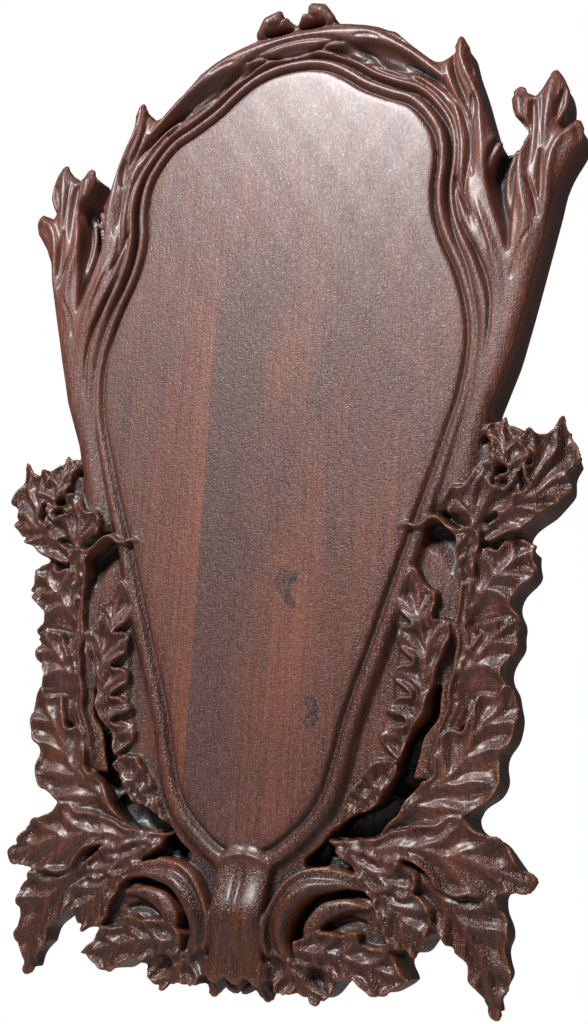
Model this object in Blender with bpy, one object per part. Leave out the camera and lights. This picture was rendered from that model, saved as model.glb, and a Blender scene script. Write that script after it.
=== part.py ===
"""Antler mounting plaque: one board of wood with a smooth panel inside a carved frame.

The carving is drawn on half of the plaque, in drawing units of which the full height has about
600, and mirrored. Its heights are measured from the panel's face, up towards the viewer, in the same
units. The board stands upright: X to the right, Z up, the front faces -Y and the back lies in
the plane Y = 0. The origin is in the middle of the back.
"""

import bmesh
import bpy
import numpy as np

PLAQUE_HEIGHT = 0.600
PANEL_THICKNESS = 0.0235
LEAST_THICKNESS = 0.0045
GRID_STEP = 0.0013
TRIANGLES = 9400

DRAWN_HEIGHT = 600.0
UNIT = PLAQUE_HEIGHT / DRAWN_HEIGHT
DRAWN_HALF_WIDTH = 0.34 * DRAWN_HEIGHT
MARGIN = 6.0
BACK = -PANEL_THICKNESS / UNIT
DEEPEST = BACK + LEAST_THICKNESS / UNIT
WALL_SLOPE = 12.0
UNDERCUT = 8.0
UNDERCUT_STEPS = 8
NOTHING = 4 * BACK

WOOD_COLOUR = (0.075, 0.026, 0.014, 1.0)
WOOD_ROUGHNESS = 0.42

PANEL_EDGE = [(0, 75), (15, 79.5), (28, 89.5), (38, 100), (45, 112.5), (50, 130), (54, 147), (60, 166),
              (70, 194), (80, 224), (90, 253), (101, 283), (110, 310), (117, 332), (121, 355),
              (120.5, 376), (114, 402), (104, 425), (99, 442), (97.5, 458), (99, 476), (97, 492),
              (90, 505), (80, 516), (66, 523), (50, 532), (37, 542), (25, 549.5), (12, 553.5),
              (0, 554.5)]


def smooth_path(points, steps=6):
    """A Catmull-Rom curve through the points."""
    p = np.array(points, float)
    ends = np.vstack([2 * p[0] - p[1], p, 2 * p[-1] - p[-2]])
    t = (np.arange(steps) / steps)[:, None]
    runs = []
    for a, b, c, d in zip(ends, ends[1:], ends[2:], ends[3:]):
        runs.append(0.5 * (2 * b + (c - a) * t + (2 * a - 5 * b + 4 * c - d) * t ** 2
                           + (3 * b - a - 3 * c + d) * t ** 3))
    return np.vstack(runs + [p[-1:]])


def spread(values, place):
    """Values given at even steps along a path, read at places from 0 to 1."""
    values = np.atleast_1d(np.array(values, float))
    return np.interp(place, np.linspace(0, 1, len(values)), values)


def lengths_along(line):
    """The share of a line's length that lies before each of its points."""
    steps = np.hypot(*np.diff(line, axis=0).T)
    return np.concatenate([[0], np.cumsum(steps)]) / steps.sum()


class Relief:
    """Heights over a grid of the half plaque, built up layer by layer."""

    def __init__(self, xs, zs):
        self.xs = xs
        self.zs = zs
        self.x, self.z = np.meshgrid(xs, zs)
        self.h = np.full(self.x.shape, NOTHING)
        self.sway_x = np.zeros(self.x.shape)
        self.sway_z = np.zeros(self.x.shape)

    def sway(self, amount):
        """Let what is carved next waver a little, as a free hand does."""
        x, z = self.x, self.z
        self.sway_x = amount * (np.sin(z * 0.19 + np.sin(x * 0.07)) + 0.5 * np.sin(z * 0.37 - x * 0.13))
        self.sway_z = amount * (np.sin(x * 0.17 + np.sin(z * 0.09)) + 0.5 * np.sin(x * 0.33 + z * 0.15))

    def window(self, line, reach):
        """The part of the grid that a line can change."""
        columns = np.searchsorted(self.xs, [line[:, 0].min() - reach, line[:, 0].max() + reach])
        rows = np.searchsorted(self.zs, [line[:, 1].min() - reach, line[:, 1].max() + reach])
        return slice(*rows), slice(*columns)

    def along(self, line, part):
        """Distance from a line, and the place of its nearest point from 0 to 1."""
        x, z = self.x[part] + self.sway_x[part], self.z[part] + self.sway_z[part]
        distance = np.full(x.shape, 1e9)
        place = np.zeros(x.shape)
        run = lengths_along(line)
        for k in range(len(line) - 1):
            ax, az = line[k]
            dx, dz = line[k + 1] - line[k]
            q = np.clip(((x - ax) * dx + (z - az) * dz) / (dx * dx + dz * dz), 0, 1)
            d = np.hypot(x - ax - q * dx, z - az - q * dz)
            near = d < distance
            distance = np.where(near, d, distance)
            place = np.where(near, run[k] + q * (run[k + 1] - run[k]), place)
        return distance, place

    def inside(self, outline, part):
        """Distance inside a closed outline, negative outside it, and the place around it."""
        x, z = self.x[part] + self.sway_x[part], self.z[part] + self.sway_z[part]
        loop = np.vstack([outline, outline[:1]])
        distance, place = self.along(loop, part)
        odd = np.zeros(x.shape, bool)
        for (ax, az), (bx, bz) in zip(loop[:-1], loop[1:]):
            if az != bz:
                odd ^= ((az > z) != (bz > z)) & (x < ax + (z - az) * (bx - ax) / (bz - az))
        return np.where(odd, distance, -distance), place

    def add(self, part, height, blend=0.0):
        """Keep the higher of old and new, with a small fillet where they meet."""
        old = self.h[part]
        self.h[part] = np.maximum(old, height)
        if blend:
            gap = np.minimum(np.abs(old - height), blend)
            self.h[part] += (blend - gap) ** 2 / (4 * blend)

    def slab(self, outline, height):
        """A flat piece of ground with steep sides."""
        outline = np.array(outline, float)
        part = self.window(outline, MARGIN)
        depth, _ = self.inside(outline, part)
        self.add(part, max(height, DEEPEST) - np.maximum(-depth, 0) * WALL_SLOPE)

    def strand(self, points, widths, crests, shoulder=3.0, power=2.0, blend=0.8, dish=0.0):
        """A rounded or dished strand that follows a path."""
        line = smooth_path(points)
        part = self.window(line, np.max(widths) + MARGIN)
        distance, place = self.along(line, part)
        width = spread(widths, place)
        r = np.minimum(distance / width, 1)
        height = spread(crests, place) - shoulder * r ** power - dish * (1 - r ** 2)
        self.add(part, height - np.maximum(distance - width, 0) * WALL_SLOPE, blend)

    def bump(self, points, widths, amounts):
        """A soft ridge along a path, added to what is there; a negative amount makes a groove."""
        line = smooth_path(points)
        part = self.window(line, np.max(widths) + 1)
        distance, place = self.along(line, part)
        r = np.minimum(distance / np.maximum(spread(widths, place), 0.05), 1)
        self.h[part] += spread(amounts, place) * (1 - r ** 2) ** 1.5

    def hollow(self, points, widths, floor, slope):
        """A hollow with sloping walls, cut down to a floor."""
        line = smooth_path(points)
        part = self.window(line, np.max(widths) + MARGIN)
        distance, place = self.along(line, part)
        over = np.maximum(distance - spread(widths, place), 0)
        wall = np.maximum(spread(floor, place), DEEPEST) + over * slope
        solid = self.h[part] > BACK
        self.h[part] = np.where(solid, np.minimum(self.h[part], wall), self.h[part])

    def leaf(self, outline, midrib, veins, levels, fold=3.4, gap=6.5, bowl=4.0, reach=2.6, waves=9):
        """A cupped leaf laid over what is there: a high and wavy rim, a hollow blade inside it,
        and sharp ridges on its midrib and veins."""
        edge = smooth_path(list(outline) + [outline[0]], 5)[:-1]
        part = self.window(edge, MARGIN)
        depth, around = self.inside(edge, part)
        rib = smooth_path(midrib)
        run = lengths_along(rib)
        off_vein, place = self.along(rib, part)
        for start, x, z in veins:
            root, ahead = (np.array([np.interp(s, run, rib[:, 0]), np.interp(s, run, rib[:, 1])])
                           for s in (start, start + 0.15))
            tip = np.array([x, z], float)
            length = np.hypot(*(tip - root))
            forward = (ahead - root) / max(np.hypot(*(ahead - root)), 0.001)
            bend = root + forward * length * 0.3 + (tip - root) * 0.25
            u = np.linspace(0, 1, 7)[:, None]
            vein = root * (1 - u) ** 2 + 2 * bend * u * (1 - u) + tip * u ** 2
            off_vein = np.minimum(off_vein, self.along(vein, part)[0])
        turn = 2 * np.pi * waves * around
        wavy = 1 + 0.35 * np.sin(turn + 1) + 0.2 * np.sin(2.3 * turn)
        rim = np.exp(-(np.maximum(depth - 0.8, 0) / reach) ** 1.3)
        height = spread(levels, place) + 0.8 - bowl + bowl * wavy * rim
        x, z = self.x[part], self.z[part]
        swell = np.sin(x * 0.26 + 1.5 * np.sin(z * 0.17)) * np.sin(z * 0.23 - 1.2 * np.sin(x * 0.13))
        height += 0.6 * swell
        height += fold * np.maximum(1 - off_vein / gap, 0) ** 1.4 * (1 - 0.6 * rim)
        corner = np.clip(1 - depth, 0, 1)
        height -= 1 - np.sqrt(1 - corner ** 2) + np.maximum(-depth, 0) * WALL_SLOPE
        self.h[part] = np.where(depth > 0, height, np.maximum(self.h[part], height))


def offset_path(points, distance):
    """The path moved sideways, to the right of its direction."""
    line = smooth_path(points)
    ahead = np.gradient(line, axis=0)
    ahead /= np.hypot(*ahead.T)[:, None]
    return line[::3] + distance * np.stack([ahead[:, 1], -ahead[:, 0]], axis=1)[::3]


def carve_ground(relief):
    """The deep ground under the foliage, and between the frame and the trunk."""
    relief.slab([(48, 84), (62, 80), (95, 90), (112, 100), (128, 108), (138, 130), (144, 152), (140, 172),
                 (144, 190), (142, 208), (150, 222), (152, 242), (168, 262), (180, 268), (182, 290),
                 (176, 300), (163, 306), (156, 309.5), (148, 311), (138, 310), (130, 290),
                 (110, 250), (100, 200), (90, 150), (85, 115)], -13)
    relief.slab([(-6, -1), (8, -1.5), (24, 3), (45, 5), (70, 13), (92, 18), (100, 30), (112, 42),
                 (124, 36), (134, 24), (142, 12), (148, 30), (146, 50), (138, 60), (150, 70), (140, 86),
                 (128, 98), (110, 96), (80, 90), (50, 84), (25, 78), (-6, 76)], -12)
    relief.slab([(128, 500), (135, 487), (145, 480), (156, 475), (150, 440), (140, 420), (126, 440)], -13)
    relief.slab([(118, 258), (130, 252), (150, 256), (170, 262), (181, 272), (182, 290), (174, 301),
                 (163, 306), (156, 309.5), (148, 311), (139, 306), (131, 298), (126, 285),
                 (116, 272)], -2.5)


def carve_backing(relief, off_panel):
    """The floor that the bead stands in, and the backing between the bead and the leaves."""
    floor = np.interp(relief.z, [240, 300, 380, 420], [-3, -2, -3, -8.5])
    relief.add(..., floor - np.maximum(off_panel - 13, 0) * WALL_SLOPE)
    relief.slab([(40, 80), (50, 87), (60, 92), (72, 98), (84, 105), (92, 117), (101, 133), (112, 157),
                 (124, 190), (128, 225), (122, 258), (100, 262), (80, 225), (62, 175), (50, 130),
                 (36, 95)], -4.8)
    relief.slab([(8, 46), (18, 46), (25, 56), (33, 64), (39, 70), (47, 78), (54, 84), (50, 94),
                 (30, 84), (8, 74)], -4)


def carve_branches(relief, off_panel):
    """The body of the upper frame and the trunk, with rounded sides and sawn stubs."""
    outline = [(-8, 587), (12, 586), (28, 585), (40, 582.5), (50, 580), (60, 576), (70, 570), (80, 561),
               (90, 551), (97, 544.5), (102, 543), (105, 546), (106.5, 552), (109, 557), (113, 558),
               (117, 555), (119.5, 548), (121.5, 539), (125, 528), (128.5, 517), (131.5, 505), (134, 495),
               (136, 488), (139, 485.5), (142, 481.5), (145, 480), (147, 484), (146, 492), (143.5, 500),
               (142.5, 508), (144.5, 514), (149, 517), (153, 515.5), (156, 511), (159, 508.5), (161.5, 512),
               (164, 518), (168, 522.5), (172, 523), (176, 519.5), (179, 513), (181, 505), (181, 498),
               (178, 491), (175, 486), (176, 484), (180, 486.5), (184, 489), (188, 486.5), (190, 480.5),
               (188.5, 473), (184, 466.5), (179, 459), (175, 450), (173, 440), (168, 420), (163, 400),
               (158, 380), (150, 350), (138.5, 320), (133, 300), (130, 280), (128, 262), (80, 262),
               (80, 480), (-8, 540)]
    outline = np.array(outline, float)
    outer, _ = relief.inside(outline, ...)
    inner = off_panel - np.interp(relief.z, [250, 300, 350, 390, 420, 450], [11, 9.5, 7, 8, 9, 10.5])
    crest = np.interp(relief.z, [262, 300, 350, 420, 480, 518], [0, 0.8, 2, 2.5, 1, -1])
    outer_corner = np.clip(1 - outer / 9, 0, 1)
    inner_corner = np.clip(1 - inner / np.interp(relief.z, [320, 420], [9, 3.5]), 0, 1)
    height = crest - 6 * (1 - np.sqrt(1 - outer_corner ** 2)) - 3 * (1 - np.sqrt(1 - inner_corner ** 2))
    relief.add(..., height + np.minimum(np.minimum(outer, inner), 0) * WALL_SLOPE)


def carve_strands(relief, off_panel):
    """The strands and grooves that run along the branches."""
    z = relief.z
    for offset, width, depth, low, high in ((15.2, 1.6, 2.4, 385, 410), (21.5, 1.8, 2.2, 425, 450)):
        fade = np.interp(z, [low, high], [0, 1])
        r = np.minimum(np.abs(off_panel - offset) / width, 1)
        relief.h -= depth * fade * (1 - r ** 2) ** 1.5
    bump = relief.bump
    bump([(20, 567), (36, 563), (50, 558.5), (64, 552), (78, 544), (92, 533.5), (103, 522)],
         [1, 5, 8, 8, 6, 3.5, 1.5], [-2, -6, -7, -7, -6, -5, -2])
    bump([(30, 562), (46, 555.5), (60, 549), (75, 540), (90, 528.5)], [1, 2.5, 3, 2.5, 1], [-3])
    bump([(0, 577), (24, 577), (44, 573), (60, 566), (76, 555), (90, 543), (102, 530)],
         [7, 8, 7, 6, 5, 4, 3], [1.5])
    bump([(63, 568), (72, 562), (82, 554)], [0.5, 1.4, 0.5], [-2.5])
    bump([(76, 546), (87, 539), (100, 529), (105, 521)], [0.5, 1.6, 1.4, 0.5], [-3.5])
    bump([(0, 567), (12, 567.5), (24, 570), (34, 570)], [1.6, 1.6, 0.8, 0.3], [-5, -5, -3])
    bump([(14, 581), (26, 580), (38, 577)], [0.4, 1.2, 0.4], [-1.5])
    bump([(42, 571), (52, 569), (60, 565)], [0.4, 1, 0.4], [-1.5])
    bump([(103, 541), (106, 530), (110, 518), (113, 503), (114, 488), (116, 470), (121, 452)],
         [3, 3.5, 3.5, 3, 3, 3, 2], [1.5, 2, 1.5, 1, 1, 1, 0])
    bump([(107.5, 548), (108, 538), (111, 526), (116, 514), (119, 503)], [1, 1.6, 2, 2.4, 1],
         [-3, -4, -4, -3, -1])
    bump([(112.5, 552), (113, 542), (117, 530), (122, 519), (126, 505), (128, 488), (129, 470), (130, 455)],
         [2, 2.5, 2.5, 3, 3, 3.5, 3.5, 2], [1, 1.5, 2, 1.5, 1.5, 1.5, 1, 0])
    bump([(117, 546), (119.5, 536), (121, 528)], [1, 2.5, 1], [-2])
    bump([(121, 514), (121.5, 506), (121, 498)], [2, 4.5, 2], [-2.5])
    bump([(121, 497), (122, 480), (123, 462)], [1, 3, 1], [-1.5])
    bump([(112.5, 463), (117, 450), (123, 438)], [0.5, 1.5, 0.5], [-4])
    bump([(118, 433), (126, 416), (133, 398), (136, 380), (135, 362), (133, 348)],
         [0.6, 1.8, 2, 1.6, 1.2, 0.5], [-2, -4, -4, -3, -2, -1])
    bump([(125, 450), (131, 430), (137, 412), (141, 396), (142, 380)],
         [1, 3.5, 4, 4, 2], [0, 1.5, 1.5, 1, 0])
    bump([(127, 436), (131, 424), (135, 412)], [0.4, 1.3, 0.4], [-2])


def carve_stubs(relief):
    """The hollow between frame and trunk, the small stub in it, and the grooves of the sawn stubs."""
    relief.hollow([(146, 485), (141.5, 472), (140.5, 458), (142, 444), (144, 428), (146, 412)],
                  [4.5, 4, 3.2, 2.2, 1, 0.3], [-13, -13, -11, -8, -4, 1], 2.2)
    relief.strand([(131, 444), (130.5, 458), (133.5, 471), (138, 481)],
                  [2.5, 3, 3.2, 3], [-2, -1, -1.5, -3], shoulder=4)
    relief.strand([(145.5, 476), (143, 462), (143.5, 448), (147, 434), (151, 424)],
                  [1.6, 2.2, 2.6, 2.6, 1.6], [-9, -7, -5, -3, 0], shoulder=2.5, blend=1.5)
    bump = relief.bump
    bump([(149.5, 508), (150.5, 490), (151, 470), (153, 450), (156, 432), (154, 414), (150, 398)],
         [3, 3.5, 4, 4.5, 4.5, 4.5, 3], [1, 1.5, 2, 2, 2, 1.5, 0])
    bump([(158, 502), (158.5, 488), (158, 472), (157, 458)], [2.5, 4, 3.5, 1], [-3.5, -3, -2, 0])
    bump([(156, 455), (160, 444), (163, 430)], [0.5, 1.6, 0.5], [-2.5])
    bump([(163.5, 506), (164, 490), (164, 474)], [0.6, 1.2, 0.6], [-1.5])
    bump([(169.5, 514), (168, 500), (166.5, 486), (166, 470)], [3, 4, 3.5, 2], [1, 2, 1.5, 0])
    bump([(185, 482), (177, 478), (171, 468), (168.5, 454), (168, 438), (165, 420)],
         [3, 3.4, 3.2, 3, 3, 2], [1, 2, 2, 2, 1.5, 0])
    bump([(164, 470), (164, 455), (164, 440)], [1, 3, 1], [-2])
    bump([(176, 506), (174, 498), (172, 490)], [1, 3.5, 1], [-3])
    bump([(184, 481), (185.5, 475)], [2.6, 2.6], [-1.8])
    bump([(150.5, 511.5), (149.5, 509)], [2, 2], [-1.5])
    bump([(148, 395), (152, 410), (158, 422)], [0.5, 1.5, 0.5], [-1.5])


def carve_crown(relief):
    """The two cut buds at the top, with the wood behind them."""
    relief.slab([(-6, 580), (30, 580), (25, 590), (12, 593), (-6, 590)], -9)
    relief.strand([(25, 587), (19, 592.5), (12, 597)], [4.5, 6.5, 4.5], [0, 2.5, 1], shoulder=4)
    relief.strand([(13, 592), (7, 591.5), (2, 588)], [4, 4, 3], [1, 1, -3], shoulder=4)
    relief.bump([(4, 586.5), (12, 586.5), (20, 586)], [1.6, 2.4, 1], [-7])
    relief.bump([(6, 596), (11, 591), (17, 589)], [0.6, 1.6, 0.6], [-3])
    relief.bump([(2, 583), (14, 582.5), (26, 583)], [0.6, 1.4, 0.6], [-3])


def cut_gaps(relief):
    """The deep gaps between the backing and the leaves."""
    relief.hollow([(40, 73), (52, 83), (65, 90.5), (80, 98), (88, 104)], [1, 2, 3, 4, 2], -19, 8)
    relief.hollow([(86, 113), (93, 118)], [3, 3.5], -19, 8)
    relief.hollow([(92, 122), (98, 134), (104, 146), (109, 158), (111, 166)], [3, 3, 2.5, 1.5, 0.5],
                  -17, 8)


def carve_stems(relief):
    """The raised bed between the inner leaves and the column, with the stems that run up it."""
    relief.slab([(96, 118), (110, 118), (120, 140), (134, 156), (146, 169), (150, 177), (155, 190),
                 (155, 204), (150, 210), (157, 219), (161, 232), (160, 246), (150, 253), (134, 256),
                 (120, 240), (118, 205), (114.5, 185), (113, 165), (108, 150), (102, 135)], -4.5)
    for shift, low in ((0, 0.5), (4.2, -0.5), (8, -2)):
        relief.strand([(108 + shift, 122), (112 + shift, 140), (118 + shift, 160), (121.5 + shift, 180),
                       (122.5 + shift, 205), (123.5 + shift, 228), (126 + shift, 250)],
                      [1.6, 2.2, 2.4, 2.2, 2, 1.8], [low - 3, low - 1, low, low, low, low], shoulder=3)


def carve_column(relief):
    """The column of leaves beside the backing, with its stem."""
    relief.leaf([(127, 200), (127, 213), (128, 226), (129, 234), (133, 240), (139, 241.5), (145, 240.5),
                 (149, 246), (156, 248), (163, 245.5), (167, 241), (163.5, 236), (166, 228), (161, 221.5),
                 (156, 219), (153.5, 211), (157, 204), (150, 200), (140, 197), (132, 196)],
                [(126, 203), (136, 218), (148, 232), (164, 242)],
                [(0.45, 134, 238), (0.7, 152, 247), (0.5, 163, 224), (0.3, 150, 214)], (-4, 0, 0, -4))
    relief.leaf([(121, 160), (123, 178), (127, 187), (132, 193), (138, 201), (147, 202.5), (154, 206),
                 (158, 201), (155.5, 195), (156.5, 188), (152, 180.5), (149, 175), (150, 168), (152, 162),
                 (142, 157), (130, 155)],
                [(120, 165), (130, 178), (142, 192), (155, 203)],
                [(0.4, 128, 188), (0.65, 141, 201), (0.55, 153, 189), (0.3, 143, 175)], (-4, 0, 0, -4))
    relief.leaf([(52, 86), (75, 90), (90, 99), (98, 110), (103, 116.5), (107, 117), (110, 121), (112, 131),
                 (114.5, 142), (120, 145), (126.5, 144), (129, 152), (132, 161), (137, 163.5), (143, 163),
                 (147.5, 168), (152.5, 170), (155, 162), (157.5, 152), (156, 142.5), (151.5, 136),
                 (146.5, 131), (147.5, 124), (149, 117), (145, 108), (139, 103), (128, 98.5), (115, 95),
                 (95, 89), (75, 84)],
                [(60, 86), (88, 95), (108, 110), (125, 128), (139, 148), (152, 168)],
                [(0.4, 106, 115), (0.5, 114, 142), (0.7, 131, 160), (0.3, 128, 103), (0.45, 140, 116),
                 (0.6, 146, 133), (0.75, 153, 150)], (-6, -3, 0, 0, -1, -4))


def carve_top_cluster(relief):
    """The sprays at the top of the foliage."""
    relief.leaf([(128, 250), (136, 258), (150, 268), (160, 275), (158, 285), (155, 295), (157, 304),
                 (161, 307.5), (165, 304.5), (170, 304), (174, 309), (178, 313.5), (182, 308), (184, 301),
                 (187, 296), (188.5, 289), (186, 284), (181, 280.5), (185, 276), (186, 272), (182, 267),
                 (175, 262.5), (166, 257.5), (158, 252), (148, 247), (136, 244)],
                [(130, 248), (146, 259), (160, 268), (184, 272)],
                [(0.45, 178, 311), (0.42, 162, 306), (0.55, 187, 291), (0.5, 183, 281), (0.6, 182, 268),
                 (0.4, 168, 259)], (1, 2.5, 2, -4), gap=5)
    relief.hollow([(158, 290), (160, 288.5)], [0.6, 0.8], -5, 5)
    relief.leaf([(146, 280), (141, 287), (138, 294), (138, 301), (135, 307), (138, 311.5), (142, 313),
                 (146, 316.5), (149.5, 313), (153, 309.5), (157, 306), (156, 300), (159, 296), (161, 291),
                 (158, 285), (155, 280), (151, 278)],
                [(150, 280), (147, 290), (146, 302), (146, 315)],
                [(0.1, 140, 293), (0.35, 137, 308), (0.1, 160, 292), (0.35, 156, 303)], (2, 3, 1, -3),
                gap=3.6, bowl=3, reach=1.8)
    relief.leaf([(130, 250), (121, 254), (115, 259), (115.5, 264), (113.5, 269), (114.5, 274), (118, 278),
                 (123, 277.5), (127, 281), (130, 286), (135, 289), (140, 288), (141.5, 283.5), (140, 278),
                 (144, 274.5), (149, 276), (153, 281), (157, 280), (157, 274), (152, 266), (144, 258),
                 (137, 252)],
                [(130, 250), (129, 262), (131, 274), (136, 287)],
                [(0.15, 114, 270), (0.25, 118, 277), (0.1, 155, 279)], (1, 2.5, 3.5, 2), gap=5)
    relief.strand([(144, 275), (147, 272), (152, 275), (156, 280)], [1.2, 1.4, 1.4, 1], [4, 4.6, 4.6, 4],
                  shoulder=2.5)
    relief.bump([(143, 279.5), (148, 281)], [3, 2.4], [3.5, 2])
    relief.hollow([(144, 285), (146.5, 284)], [1, 0.8], -5, 5)
    relief.hollow([(137, 257), (141, 258)], [1, 0.6], -4, 3)
    relief.hollow([(119.5, 257.5), (122.5, 256)], [0.8, 0.6], -5, 5)


def carve_curl(relief):
    """The leaf that curls over the bead: a thin wavy rim above a scooped blade."""
    relief.slab([(100, 256), (112, 257), (122, 252), (134, 250), (136, 236), (131, 222), (119, 222),
                 (110, 236)], -5)
    relief.hollow([(97, 253), (106, 251.5), (113, 248), (117, 240), (117.5, 232)],
                  [1, 2.5, 2.5, 1.5, 0.5], [-7, -10, -10, -9, -6], 0.7)
    relief.strand([(86.5, 257), (90, 258), (95, 256.5), (100, 256.5), (105, 258.5), (110, 258),
                   (114, 254.5), (119, 252.5), (122, 248), (121.5, 241), (123.5, 234), (122, 226),
                   (123, 220)],
                  [1, 1.5, 1.5, 1.6, 1.8, 1.8, 1.8, 2, 2, 1.6, 1.4, 1.2, 0.8],
                  [2, 3, 3, 3.5, 4.5, 4.5, 4.5, 4.5, 4, 3, 2, 1, -2], shoulder=1.5, power=3)
    relief.leaf([(118, 253), (126, 254), (133, 250), (135, 242), (132, 232), (128, 222), (124, 222),
                 (123, 230), (125, 237), (122, 246)],
                [(127, 224), (129, 236), (124, 249)], [], (-1, 2, 4), fold=1.6, gap=4, bowl=3, reach=2)


def carve_inner_leaves(relief):
    """The two leaves that lie on the backing."""
    relief.slab([(90, 127), (82, 137), (80, 143), (83, 157), (87, 174), (87, 197), (88, 216), (93, 230),
                 (100, 226), (109, 212), (118, 200), (111, 172), (99, 144)], -3)
    relief.leaf([(90, 127), (84, 133), (79, 139), (79.5, 143), (86, 146), (94, 146.5), (90, 151),
                 (82, 154), (81.5, 158), (88, 161), (96, 161), (92, 166), (87, 171), (86.5, 177),
                 (91, 180), (97, 180), (93, 185), (88, 190), (86, 196), (88, 201), (93, 201),
                 (97, 200), (93, 205), (88, 210), (86.5, 216), (88.5, 223), (91, 229), (96, 232),
                 (100, 227), (103, 221), (108, 219), (109.5, 212), (109, 203), (114, 203.5),
                 (119.5, 203), (119, 195), (115, 187), (112, 179), (110, 169), (106.5, 159),
                 (102, 149), (96.5, 138)],
                [(92, 130), (100, 150), (104, 170), (103, 190), (100, 208), (94, 228)],
                [(0.08, 81, 141), (0.18, 83, 156), (0.35, 88, 175), (0.5, 87, 197), (0.72, 88, 215),
                 (0.75, 108, 218), (0.55, 118, 201)], (-2, 0.5, 1, 1, 0), gap=4.5, bowl=4.5)
    relief.leaf([(91, 122), (88, 127.5), (83, 129), (78, 128), (74, 127), (71, 121), (67, 116), (64, 110),
                 (60, 104), (55, 96), (53, 90), (60, 93), (68, 98), (75, 101), (81, 106), (84, 112),
                 (88, 117)],
                [(89, 122), (80, 113), (68, 104), (55, 92)],
                [(0.1, 84, 128), (0.3, 75, 126), (0.5, 66, 113), (0.3, 80, 105)],
                (-1, -1, -2, -3), gap=5)


def carve_bottom_leaves(relief):
    """The big leaves of the lower corner."""
    relief.leaf([(88, 74), (100, 72), (115, 68), (130, 64), (142, 60), (148, 57), (152, 52), (155, 46),
                 (155, 40), (151, 34), (153, 29), (156, 24), (155, 17), (151, 11), (149.5, 3), (146, -3),
                 (142, -1.5), (139.5, 4), (136, 12), (131, 16), (129, 22), (128, 27), (122, 32), (118, 37),
                 (114, 42), (108, 50), (98, 58)],
                [(95, 70), (114, 60), (130, 44), (140, 26), (146, 5)],
                [(0.3, 148, 56), (0.45, 154, 43), (0.65, 155, 24), (0.85, 150, 9), (0.3, 118, 39),
                 (0.5, 128, 27), (0.7, 135, 13)], (-5, -2, -2, -4, -8))
    relief.leaf([(66, 70), (75, 70), (88, 66), (98, 60), (106, 56), (112, 50), (113, 44), (112, 38),
                 (110, 32), (106, 27), (102, 24.5), (99, 28), (95, 28), (90, 30), (88, 35), (86, 38),
                 (84, 45), (78, 54), (68, 62)],
                [(70, 67), (86, 55), (97, 42), (103, 27)],
                [(0.3, 111, 49), (0.5, 112, 38), (0.45, 87, 37), (0.65, 93, 29), (0.2, 80, 52)],
                (-2, 1, 1, -1))
    relief.leaf([(50, 84), (62, 82), (75, 78), (88, 76), (98, 72), (104, 66), (102, 58), (95, 56), (88, 60),
                 (80, 58), (72, 62), (64, 70), (55, 77)],
                [(50, 83), (70, 73), (86, 65), (102, 60)], [(0.3, 76, 60), (0.55, 90, 59), (0.5, 96, 72)],
                (-5, -1, 1, 0), gap=5)
    relief.leaf([(48, 83), (60, 84.5), (80, 88), (95, 92), (110, 95), (122, 98), (129, 99), (133, 93),
                 (140, 91), (147, 91), (153, 87), (157, 81), (162, 76), (167, 71), (168.5, 67), (164, 63),
                 (157, 61), (150, 61), (143, 58), (136, 58), (130, 60), (122, 59), (115, 62), (111, 68),
                 (105, 73), (97, 74), (85, 76), (70, 78), (55, 81)],
                [(50, 83), (80, 82), (110, 81), (135, 76), (166, 67)],
                [(0.4, 128, 97), (0.6, 146, 90), (0.8, 158, 79), (0.35, 116, 62), (0.55, 134, 59),
                 (0.75, 152, 62)], (-5, 0, 1, -1, -6))


def bend_edges_back(relief):
    """Bend the foliage back towards the wall along its outer edges, most at the tips of the lobes."""
    inside = blurred((relief.h > BACK).astype(float), round(3 / (relief.xs[1] - relief.xs[0])))
    bend = np.interp(relief.z, [300, 330], [6.5, 0])
    relief.h -= bend * (1 - np.clip(2 * inside - 1, 0, 1)) ** 2


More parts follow.
